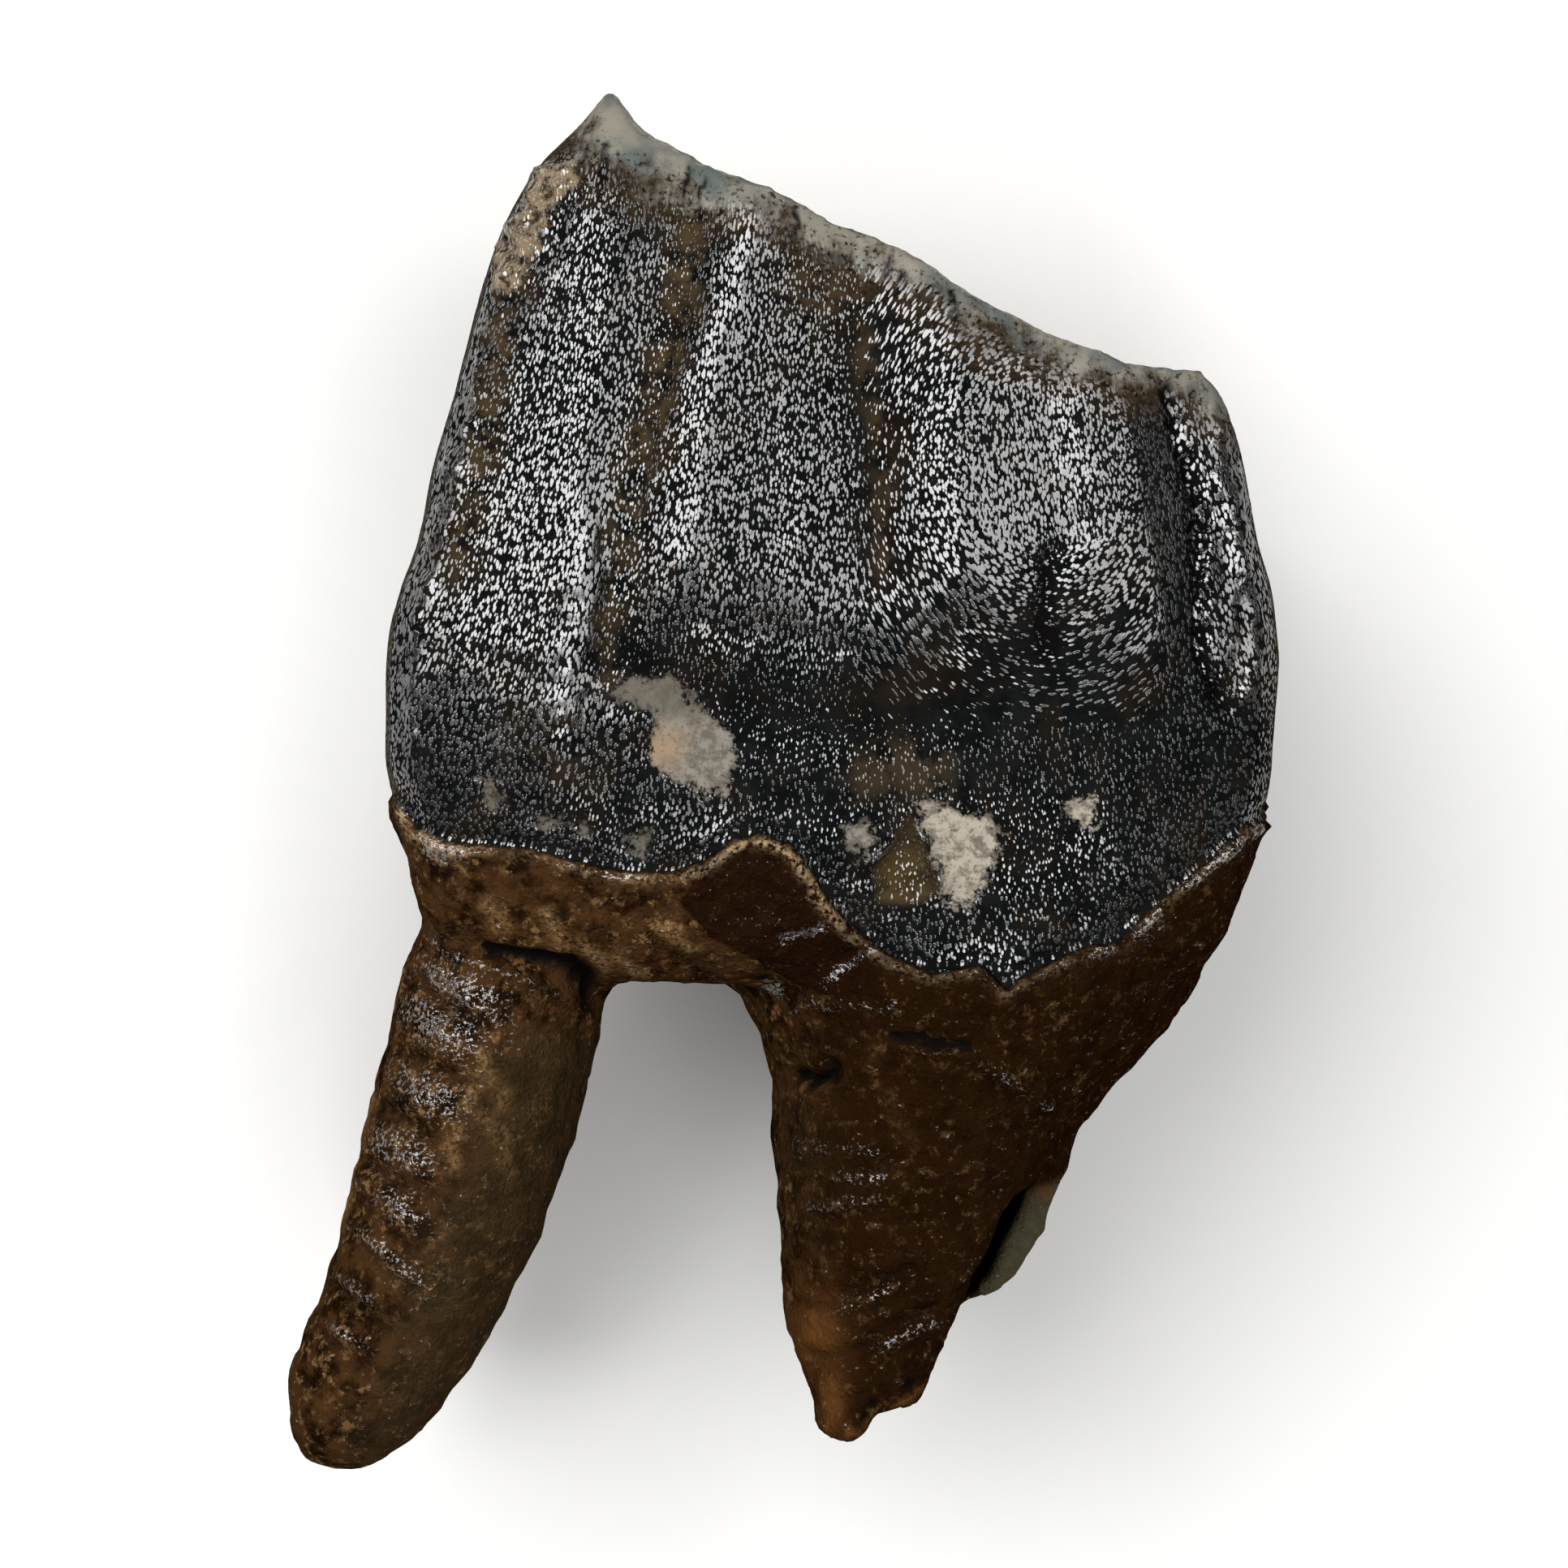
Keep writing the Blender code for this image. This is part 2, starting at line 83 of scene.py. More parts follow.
# Lumps all over the tooth, and the part that is root
LARGE_LUMPS = 0.07
MIDDLE_LUMPS = 0.05
ROOT_BELOW = (13.0, 16.0)
LEFT_ROOT_EDGE_X = -6.0
RIGHT_ROOT_EDGE_X = -4.0

# Where the enamel ends on the cheek side, and its level round the rest of the crown
ENAMEL_LINE = [
    (-24.6, -0.2), (-23.8, -0.95), (-22.8, -2.7), (-20.3, -3.7), (-16.3, -3.95), (-13.3, -4.7),
    (-10.3, -5.45), (-6.8, -5.55), (-4.8, -4.7), (-3.05, -3.45), (-1.3, -3.1), (0.45, -3.7),
    (1.7, -5.45), (2.7, -7.2), (4.7, -9.2), (6.7, -10.7), (9.2, -11.7), (12.2, -11.2), (13.7, -12.7),
    (15.2, -11.7), (18.2, -10.2), (20.7, -9.7), (23.2, -7.2), (25.7, -5.2), (28.2, -2.7), (29.45, -2.2),
    (31.0, -1.6),
]
ENAMEL_LINE_Z = (33.0, 39.0)
ENAMEL_LEVEL = -1.6
ENAMEL_LEVEL_WAVE = 1.6
LIP_STEP = 0.32
LIP_FADE = 2.6
LIP_RIDGE = 0.2
LIP_HALF_WIDTH = 0.26
LIP_GUTTER = 0.16

# Glossy dark red-brown tongue of cement, with an orange-gold rim
TONGUE = [
    (-5.2, -5.0), (-3.3, -3.6), (-1.3, -3.1), (0.4, -3.6), (1.7, -5.4), (2.7, -7.2), (4.7, -9.2),
    (6.4, -10.6), (5.6, -12.6), (3.6, -13.3), (0.8, -12.2), (-1.8, -10.6), (-4.6, -9.2), (-6.4, -7.2),
]
TONGUE_HEIGHT = 0.2
TONGUE_RIM = 0.16
TONGUE_LUMPS = 0.28
TONGUE_GLEAMS = [
    [(0.1, -9.4), (1.2, -8.95), (2.5, -8.6)], [(2.9, -12.0), (4.1, -11.2), (5.3, -10.2)],
    [(-1.1, -12.2), (-0.3, -12.9)], [(4.8, -8.4), (5.0, -8.9)],
]

# Chips that show pale dentine
CREAM_PATCHES = [
    [(-10.45, 6.3), (-9.55, 6.8), (-6.8, 6.4), (-5.8, 5.2), (-4.3, 4.05), (-3.05, 2.55), (-2.95, 1.05),
     (-3.8, -0.45), (-5.05, -0.7), (-6.05, 0.05), (-7.55, 0.4), (-8.45, 1.8), (-8.3, 3.3), (-8.05, 4.55),
     (-9.3, 5.0), (-10.3, 5.4)],
    [(8.25, -1.0), (9.2, -0.9), (10.95, -1.7), (12.95, -2.1), (13.2, -3.45), (12.8, -5.2), (11.95, -6.7),
     (11.2, -7.8), (10.3, -7.2), (9.7, -5.7), (8.95, -3.7), (8.35, -2.2)],
    [(3.95, -2.7), (5.2, -2.3), (5.7, -3.7), (4.7, -4.45), (4.0, -3.95)],
    [(17.25, -1.2), (18.7, -0.95), (19.55, -1.95), (18.7, -2.75), (17.8, -2.2)],
    [(-15.6, -1.9), (-13.6, -1.7), (-13.3, -2.9), (-15.2, -3.3)],
    [(-13.1, -2.2), (-11.8, -2.2), (-11.9, -3.5), (-12.9, -3.4)],
    [(-9.8, -2.8), (-8.4, -2.8), (-8.3, -4.8), (-9.5, -4.6)],
    [(-18.6, 0.1), (-17.3, 0.0), (-17.2, -1.6), (-18.4, -1.7)],
]
CREAM_DEPTH = 0.22
ORANGE_SPOT = (-7.4, 2.3, 1.3)
CHEVRON = [(5.2, -5.0), (6.4, -3.5), (7.75, -1.6), (8.6, -3.4), (9.9, -6.5)]
CHEVRON_INSIDE = [(7.8, -1.4), (5.4, -5.2), (5.6, -7.4), (8.2, -7.6), (9.9, -6.6)]
CHEVRON_HEIGHT = 0.4
CHEVRON_GLEAMS = [[(5.6, -4.6), (6.85, -3.4)], [(8.35, -2.8), (8.9, -4.0)], [(9.4, -5.2), (9.8, -6.2)]]
OLIVE_HAZE = [(4.5, 1.8), (7.6, 2.6), (10.2, 1.4), (10.0, -0.6), (7.0, -0.4), (4.2, -0.9)]
SMALL_PIT = (18.4, -8.2, 0.6)
SMALL_PIT_DEPTH = 0.6

# Yellow crust on the worn distal corner, and the gleam on its upper end
CRUST = [
    (-15.2, 37.6), (-13.2, 38.2), (-12.6, 37.0), (-14.2, 35.2), (-15.4, 32.8), (-16.6, 30.4), (-17.9, 30.2),
    (-17.4, 33.0), (-16.3, 35.6),
]
CRUST_HEIGHT = 0.32
CRUST_LUMPS = 0.5
CRUST_GLEAM = (-12.9, 38.5, 0.9, 0.4, (0.5, 0.86))

# Folds, ribs and other lines of the cheek side
BROWN_GROOVE = [(-5.3, 38.8), (-6.8, 27.3), (-8.8, 20.3), (-10.3, 13.3), (-11.05, 6.8)]
RIDGE_BY_GROOVE = [(-11.8, 17.8), (-12.3, 10.3), (-13.4, 4.3)]
SECOND_RIB = [(-1.8, 33.3), (-4.3, 27.3), (-5.8, 14.3)]
VALLEY = [(4.7, 27.3), (5.95, 20.3), (6.2, 13.3)]
SHORT_FOLD = [(16.4, 14.2), (16.0, 11.0), (16.3, 8.0)]
MESIAL_FISSURE = [(23.7, 24.3), (24.8, 20.3), (25.7, 16.3), (25.6, 12.3), (25.8, 8.3), (26.7, 5.3)]
MESIAL_RIDGE = [(26.4, 23.6), (27.7, 17.3), (28.45, 10.3), (28.7, 5.8)]
MESIAL_STRIP = [(29.3, 13.6), (30.2, 9.0), (30.4, 4.0)]
DISTAL_RIDGE = [(-16.6, 33.4), (-18.4, 27.3), (-20.2, 20.3), (-21.9, 13.3), (-22.9, 8.3), (-23.1, 3.3)]
DISTAL_STAIN = [(-16.2, 33.3), (-17.6, 27.3), (-18.6, 20.3), (-20.1, 13.3)]
LOWER_DARK = [(-2.0, 0.5), (3.0, -0.5), (9.0, 1.5), (15.0, 0.0), (22.0, 0.0)]
SMILE_ARC = [(-10.3, 8.3), (-5.8, 5.8), (1.7, 4.8), (6.7, 4.3), (11.7, 5.8), (16.2, 8.8)]
# Short cracks below the worn edge, drawn only as lines of painted shade: U, upper V and lower V
EDGE_CRACKS = [
    (-11.05, 39.3, 35.3), (-4.8, 37.4, 34.8), (-5.9, 38.0, 36.2), (0.7, 35.6, 33.6), (6.45, 32.6, 29.8),
    (7.3, 31.6, 30.2), (10.45, 30.4, 28.4),
]
EDGE_CRACK_LEAN = -0.3

# Left root: its axis, the crack and lip at its neck, and rings that run down to the right
LEFT_ROOT_TOP = (-16.8, -12.0)
LEFT_ROOT_SLOPE = 0.336 / 0.942
NECK_CRACK = [(-18.5, -10.35), (-15.4, -10.9), (-13.3, -11.3), (-12.0, -12.3), (-11.0, -14.05)]
NECK_CRACK_DEPTH = 0.9
NECK_LIP = [
    (-21.7, -9.5), (-20.2, -10.55), (-18.6, -11.15), (-16.85, -11.7), (-15.4, -12.3), (-13.6, -13.2),
    (-12.3, -13.9), (-10.85, -15.25),
]
NECK_LIP_HEIGHT = 0.42
LEFT_RING_NORMAL = (-0.66, -0.75)
LEFT_RING_SPACING = 3.05
LEFT_RING_HEIGHT = 0.16
LEFT_FOLDS = [
    [(-22.4, -11.7), (-21.8, -12.9), (-20.65, -13.9), (-19.3, -14.4)],
    [(-23.9, -16.3), (-21.5, -17.3), (-20.1, -18.5)],
    [(-24.8, -19.9), (-23.0, -20.7), (-21.7, -21.8)],
    [(-25.9, -23.2), (-24.5, -24.2), (-22.4, -24.8), (-20.65, -25.8)],
    [(-26.6, -27.6), (-25.4, -29.0), (-24.2, -30.3), (-22.6, -31.4)],
    [(-27.5, -30.9), (-26.0, -32.6), (-24.4, -34.0)],
    [(-28.4, -33.8), (-27.0, -35.4), (-25.6, -36.6)],
]
FOLD_DEPTH = 0.42
# Swellings with fine bright wrinkles: middle, half length and half width, all leaning down to the right
LEFT_SWELLINGS = [
    (-19.9, -12.8, 2.9, 1.3), (-20.95, -15.0, 2.6, 1.4), (-21.8, -19.1, 2.4, 1.15), (-23.4, -22.8, 2.1, 1.35),
    (-23.7, -26.0, 2.0, 1.0), (-24.9, -28.6, 2.2, 0.45), (-23.2, -30.4, 1.6, 0.6), (-26.2, -31.3, 1.5, 0.5),
    (-26.9, -34.2, 1.3, 0.45),
]
SWELLING_LEAN = (0.8, -0.6)
SWELLING_HEIGHT = 0.32
LEFT_TAN = [
    [(-18.4, -16.6), (-18.2, -18.4)], [(-17.4, -18.9), (-17.3, -20.0)], [(-17.06, -21.4), (-17.06, -23.6)],
    [(-18.16, -20.7), (-18.16, -21.7)], [(-20.3, -21.4), (-20.5, -23.7)], [(-19.2, -18.7), (-19.3, -19.9)],
]
LEFT_SLIVER = [(-25.4, -19.4), (-26.5, -23.2), (-26.9, -27.2)]

# Right root: level rings, creases that rise to the right, a dark pit with a lip, a crack and a curved ridge
RIGHT_RING_NORMAL = (-0.18, 0.98)
RIGHT_RING_SPACING = 2.3
RIGHT_RING_HEIGHT = 0.03
RIGHT_CREASES = [
    [(0.2, -31.8), (2.2, -32.3), (4.2, -31.6), (6.0, -30.6), (8.0, -29.9)],
    [(0.85, -34.9), (3.3, -35.3), (5.0, -34.6), (6.65, -33.4), (9.4, -32.2)],
]
RIGHT_SHALLOW_CREASES = [
    [(0.4, -21.7), (4.0, -21.5), (8.0, -21.2)],
    [(0.4, -24.6), (4.0, -24.3), (7.6, -24.0)],
    [(0.4, -27.2), (3.4, -27.0), (6.6, -26.4)],
]
SHALLOW_DEPTH = 0.12
RIGHT_GLEAMS = [
    [(3.3, -32.3), (6.6, -31.1)], [(5.65, -35.0), (7.5, -33.9), (9.2, -33.2)], [(1.7, -26.1), (5.65, -25.6)],
    [(0.8, -22.3), (5.6, -22.6)], [(3.4, -24.1), (6.0, -24.3)], [(12.6, -17.6), (14.4, -18.4)],
    [(15.9, -19.5), (16.1, -19.6)],
]
RIGHT_GLEAM_HEIGHT = 0.24
RIGHT_PIT = [(0.7, -18.0), (1.8, -18.2), (3.0, -17.8)]
RIGHT_PIT_LIP = [(-0.3, -19.1), (2.2, -19.0), (3.8, -18.3), (4.7, -17.35)]
RIGHT_CRACK = [(7.0, -15.4), (9.0, -15.8), (11.1, -15.9)]
RIGHT_RIDGE = [(7.0, -16.2), (10.9, -16.5), (12.95, -17.7), (14.3, -18.4), (16.1, -19.5)]
RIGHT_TAN = [
    [(5.4, -16.2), (5.6, -18.4)], [(6.2, -18.6), (6.8, -21.0)], [(7.7, -21.2), (8.0, -22.3)],
    [(5.9, -23.3), (6.0, -23.8)],
]
RIGHT_OLIVE = (2.4, -22.8, 3.2, 5.2)
HIGHLIGHT_LIP = [(0.9, -13.6), (3.9, -13.5), (7.0, -13.9)]
AMBER_SPOTS = [(1.7, -33.8, 1.7, 2.4), (2.9, -37.9, 0.8, 2.2), (16.2, -25.2, 0.9, 0.4)]
TIP_PITS = [(8.0, -37.1, 0.5), (5.5, -38.2, 0.45), (4.95, -39.2, 0.4)]
TIP_PIT_DEPTH = 0.5
TIP_RIMS = [[(6.8, -38.5), (8.2, -38.1), (8.7, -37.2)], [(3.9, -39.9), (5.0, -40.0), (5.6, -39.4)]]
# The far wall of the hollow root: its greenish grey is lightened as painted light, because the lamps leave the
# wall in shade
FAR_WALL = [
    (15.2, -25.4), (18.6, -24.2), (17.8, -28.0), (15.4, -31.6), (11.0, -33.6), (11.4, -32.0), (12.8, -30.4),
    (14.0, -27.8),
]
FAR_WALL_Z = (26.0, 30.0)
BASE_TAN = [
    [(-18.3, -7.4), (-17.2, -8.8)], [(-12.3, -9.8), (-11.1, -11.4)], [(-7.5, -8.6), (-5.7, -10.1)],
    [(-10.5, -10.6), (-8.4, -12.4)], [(-14.6, -8.2), (-13.6, -10.4)],
]

# Lines with their half width and their height in millimetres, below 0 for a groove
RELIEF_LINES = [
    (BROWN_GROOVE, 0.55, -0.28), (SECOND_RIB, 1.6, 0.12), (VALLEY, 0.8, -0.2), (SHORT_FOLD, 0.5, -0.35),
    (SMILE_ARC, 0.9, -0.18), (MESIAL_FISSURE, 0.42, -0.85), (RIGHT_PIT, 0.5, -1.1), (RIGHT_PIT_LIP, 0.35, 0.25),
    (RIGHT_RIDGE, 0.5, 0.3), (RIGHT_CRACK, 0.3, -0.5), (HIGHLIGHT_LIP, 0.4, 0.3),
]
BUMPY_RIDGES = [(MESIAL_RIDGE, 0.75, 0.55), (DISTAL_RIDGE, 0.5, 0.3)]
RIDGE_BY_GROOVE_HEIGHT = 0.3

# Lines with their half width and weight. Spots have a middle, a half width and a weight.
STAIN_LINES = [(DISTAL_STAIN, 1.1, 0.8), (VALLEY, 0.7, 0.5)]
STAIN_SPOTS = [(2.6, 31.2, 2.8, 0.9), (-14.5, 2.0, 2.4, 0.35)]
# Lines of painted shade in the fissure, folds, pits and cracks, and under the smile arc
PAINTED_SHADE_LINES = [
    (MESIAL_FISSURE, 0.6, 1.0), (SHORT_FOLD, 0.7, 0.8), (SMILE_ARC, 1.2, 0.5), (RIGHT_PIT, 0.6, 1.0),
    (RIGHT_CRACK, 0.4, 1.0),
] + [([(u, top), (u + EDGE_CRACK_LEAN, bottom)], 0.26, 0.9) for u, top, bottom in EDGE_CRACKS]
GLINT_GAPS = [(SMILE_ARC, 2.4, 0.9), (VALLEY, 1.7, 0.5), (SHORT_FOLD, 1.0, 0.8), (LOWER_DARK, 3.0, 0.5)]
GLINT_LINES = [
    (RIDGE_BY_GROOVE, 1.3, 0.6), (SECOND_RIB, 1.4, 0.3), (MESIAL_RIDGE, 0.9, 0.5), (DISTAL_RIDGE, 0.8, 0.4),
]
GLINT_SPOTS = [(-6.0, -1.6, 2.4, 0.45), (15.0, 17.0, 6.5, 0.3), (22.0, -3.0, 4.0, 0.15)]
RIB_TOP = (-1.9, 33.6, 1.8, 1.1, (0.6, 0.8))
MOST_GLINTS = 1.15
SHINE_LINES = (
    [(RIGHT_RIDGE, 0.5, 0.12), (HIGHLIGHT_LIP, 0.35, 0.7)]
    + [(line, 0.4, 0.6) for line in BASE_TAN]
    + [(line, 0.3, 2.2) for line in TONGUE_GLEAMS]
    + [(line, 0.26, 2.2) for line in CHEVRON_GLEAMS]
)
TAN_LINES = (
    [(RIGHT_PIT_LIP, 0.3, 0.4)]
    + [(line, 0.45, 1.0) for line in LEFT_TAN]
    + [(line, 0.4, 0.7) for line in RIGHT_TAN]
    + [(line, 0.5, 0.8) for line in BASE_TAN]
)

# The enamel's wrinkles follow growth lines: a fan over the crown, and arcs round the mesial bulge
BULGE_CENTRE = (16.2, 19.6)
BULGE_SQUEEZE = 0.75
ARC_RADIUS = 8.0
FAN_LEVEL = 10.0
FAN_LEAN = 0.08
FAN_SPREAD = 0.009

# The worn surface looks this way. A curved sheet is fitted to its points, and what lies near the sheet is worn.
WORN_DIRECTION = (0.4, 0.9, -0.2)
WORN_LOWEST_Y = 14.0
FIRST_FACING = 0.85
FIT_FACING = 0.8
FIT_DISTANCE = 2.0
FIT_ROUNDS = 4
WORN_FACING = 0.6
WORN_DISTANCE = 3.0
RIM_REACH = 4.0
FAR_FROM_FACE = 40.0
RIM_WIDTH = 1.5
DISH_DEPTH = 0.75
BAND_NARROWER = 1.5  # by how much the worn band is narrower right of the brown groove
CALM_BAND = (2.4, 5.0)  # the wrinkles begin this far from the worn edge
TIP = (-10.5, 41.6)
TIP_LIFT = 0.9
TIP_HALF_WIDTH = 1.3
TIP_Z = (38.0, 41.0)

# Scene-linear colours
BLACK_ENAMEL = (0.0025, 0.003, 0.0032, 1)
GREY_ENAMEL = (0.0062, 0.0065, 0.0064, 1)
BROWN_ENAMEL = (0.014, 0.0085, 0.004, 1)
STAIN = (0.044, 0.029, 0.0145, 1)
FLANK = (0.035, 0.026, 0.011, 1)
WORN_PALE = (0.175, 0.16, 0.13, 1)
WORN_BLUE = (0.08, 0.09, 0.085, 1)
WORN_BROWN = (0.03, 0.019, 0.01, 1)
CREAM = (0.165, 0.15, 0.127, 1)
CREAM_LIGHT = (0.29, 0.255, 0.205, 1)
CREAM_GREY = (0.07, 0.062, 0.048, 1)
ORANGE = (0.215, 0.15, 0.095, 1)
CHEVRON_BROWN = (0.045, 0.03, 0.0125, 1)
CRUST_YELLOW = (0.16, 0.12, 0.075, 1)
DENTINE_DARK = (0.045, 0.027, 0.014, 1)
DENTINE_BROWN = (0.16, 0.105, 0.058, 1)
CEMENT_DARK = (0.0065, 0.0028, 0.001, 1)
CEMENT_BROWN = (0.036, 0.0165, 0.006, 1)
CEMENT_TAN = (0.14, 0.078, 0.03, 1)
# Near-black brown laid over the right half of the cement as painted shade, for the side turned from the light
CEMENT_PAINTED_SHADE = (0.0085, 0.0033, 0.001, 1)
# Greyer cement: the grey-olive patch on the right root, and the left root's right side, where it is also
# painted light on a side the key lamp leaves in shade
CEMENT_GREY_AND_PAINTED_LIGHT = (0.026, 0.0165, 0.0075, 1)
AMBER = (0.075, 0.03, 0.008, 1)
TONGUE_RED = (0.0085, 0.003, 0.0013, 1)
# Greenish grey of the far wall, made lighter as painted light on a wall that lies in shade
FAR_WALL_GREY_AND_PAINTED_LIGHT = (0.058, 0.052, 0.031, 1)
LIP_GOLD = (0.27, 0.185, 0.1, 1)
# Near-black: painted shade in cracks, folds and pits, and also the worn band's own dark specks and the
# dentine's splits
PAINTED_SHADE_AND_SPECK_BLACK = (0.003, 0.0026, 0.0026, 1)
FLOOR = (0.68, 0.675, 0.66, 1)

# Wrinkles are cells, so many to a millimetre across, along and in depth. Heights are in millimetres.
UPRIGHT_CELLS = (5.1, 2.3, 4.2)
ROUNDED_CELLS = (4.9, 2.2, 4.2)
WRINKLE_HEIGHT = 0.045
RUGGED_HEIGHT = 0.3
WORM_HEIGHT = 0.16
FACE_HEIGHT = 0.07
COAT_ROUGHNESS = 0.2
COAT_IOR = 2.0

# Round lamps that look at the tooth: name, place and width in metres, power in watts
LIGHTS = [
    ("key_light", (-0.24, 0.24, 0.72), 0.64, 7.3),
    ("fill_light", (0.3, 0.1, 0.72), 0.52, 2.6),
    ("low_light", (0.06, -0.42, 0.66), 0.36, 2.4),
    ("side_light", (-0.56, 0.12, 0.48), 0.3, 1.2),
]
LIGHT_AIM = (0, 0, 0.02)
WORLD_STRENGTH = 0.14
FLOOR_SIZE = 3.0
FLOOR_ROUGHNESS = 0.9


def rise(value, low, high):
    """0 below low, 1 above high, and smooth between."""
    t = np.clip((value - low) / (high - low), 0, 1)
    return t * t * (3 - 2 * t)


def bell(distance, half_width):
    return np.exp(-((distance / half_width) ** 2))


def line_distance(line, u, v):
    nearest = np.full(len(u), np.inf)
    for (u0, v0), (u1, v1) in zip(line, line[1:]):
        du = u1 - u0
        dv = v1 - v0
        t = np.clip(((u - u0) * du + (v - v0) * dv) / (du * du + dv * dv), 0, 1)
        nearest = np.minimum(nearest, np.hypot(u - u0 - t * du, v - v0 - t * dv))
    return nearest


def patch_field(outline, u, v):
    """Distance to a closed outline, above 0 inside it."""
    inside = np.zeros(len(u), bool)
    for (u0, v0), (u1, v1) in zip(outline, outline[1:] + outline[:1]):
        crosses = (v0 > v) != (v1 > v)
        at = u0 + (v - v0) * (u1 - u0) / ((v1 - v0) or 1e-9)
        inside ^= crosses & (u < at)
    distance = line_distance(outline + outline[:1], u, v)
    return np.where(inside, distance, -distance)


def oval(middle_u, middle_v, half_length, half_width, lean, u, v):
    along = (u - middle_u) * lean[0] + (v - middle_v) * lean[1]
    across = (v - middle_v) * lean[0] - (u - middle_u) * lean[1]
    return np.exp(-((along / half_length) ** 2) - (across / half_width) ** 2)


# The surface


def link(item):
    bpy.context.scene.collection.objects.link(item)
    return item


def smooth(surface):
    bmesh.ops.smooth_vert(
        surface, verts=surface.verts, factor=SMOOTH_FACTOR, use_axis_x=True, use_axis_y=True, use_axis_z=True
    )


def fine_surface(cad):
    """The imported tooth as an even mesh, finer where it faces the camera."""
    base = link(bpy.data.objects.new("base", cad.data.copy()))
    remesh = base.modifiers.new("remesh", "REMESH")
    remesh.mode = "VOXEL"
    remesh.voxel_size = VOXEL * MM
    soften = base.modifiers.new("soften", "SMOOTH")
    soften.factor = SMOOTH_FACTOR
    soften.iterations = FIRST_SMOOTHING
    evaluated = base.evaluated_get(bpy.context.evaluated_depsgraph_get())
    mesh = bpy.data.meshes.new_from_object(evaluated)
    bpy.data.objects.remove(base)

    surface = bmesh.new()
    surface.from_mesh(mesh)
    surface.normal_update()
    edges = set()
    for face in surface.faces:
        if face.normal.z > FINE_SIDE_NORMAL and face.calc_center_median().z > FINE_SIDE_LOWEST * MM:
            edges.update(face.edges)
    bmesh.ops.subdivide_edges(surface, edges=list(edges), cuts=1, use_grid_fill=True)
    for _ in range(LAST_SMOOTHING):
        smooth(surface)
    packed = BVHTree.FromPolygons([v.co for v in cad.data.vertices], [p.vertices for p in cad.data.polygons])
    for vert in surface.verts:
        vert.co = vert.co.lerp(packed.find_nearest(vert.co)[0], HOLD)
    smooth(surface)
    bmesh.ops.triangulate(surface, faces=surface.faces)
    surface.to_mesh(mesh)
    surface.free()
    mesh.name = "tooth_surface"
    return mesh


def distances(points, chosen, others):
    """How far each chosen point is from the nearest of the others, and 0 for the rest."""
    tree = kdtree.KDTree(int(others.sum()))
    for index, point in enumerate(points[others]):
        tree.insert(point, index)
    tree.balance()
    found = np.zeros(len(points))
    for index in np.flatnonzero(chosen):
        found[index] = tree.find(points[index])[2]
    return found


def worn_fields(points, normals):
    """Each point's distance from the worn surface, whether it is part of it, and its distance from the rim."""
    facing = normals @ (np.array(WORN_DIRECTION) / np.linalg.norm(WORN_DIRECTION))
    x, y, z = points.T
    high = y > WORN_LOWEST_Y
    terms = np.column_stack([np.ones(len(x)), x, z, x * x, x * z, z * z])
    chosen = (facing > FIRST_FACING) & high
    for _ in range(FIT_ROUNDS):
        factors = np.linalg.lstsq(terms[chosen], y[chosen], rcond=None)[0]
        below = terms @ factors - y
        chosen = (facing > FIT_FACING) & (np.abs(below) < FIT_DISTANCE) & high
    on_face = (facing > WORN_FACING) & (np.abs(below) < WORN_DISTANCE) & high
    rim = distances(points, on_face, ~on_face & (below < RIM_REACH) & high)
    from_face = distances(points, ~on_face & (y > 0), on_face)
    from_face[~on_face & (y <= 0)] = FAR_FROM_FACE
    return from_face, on_face, rim


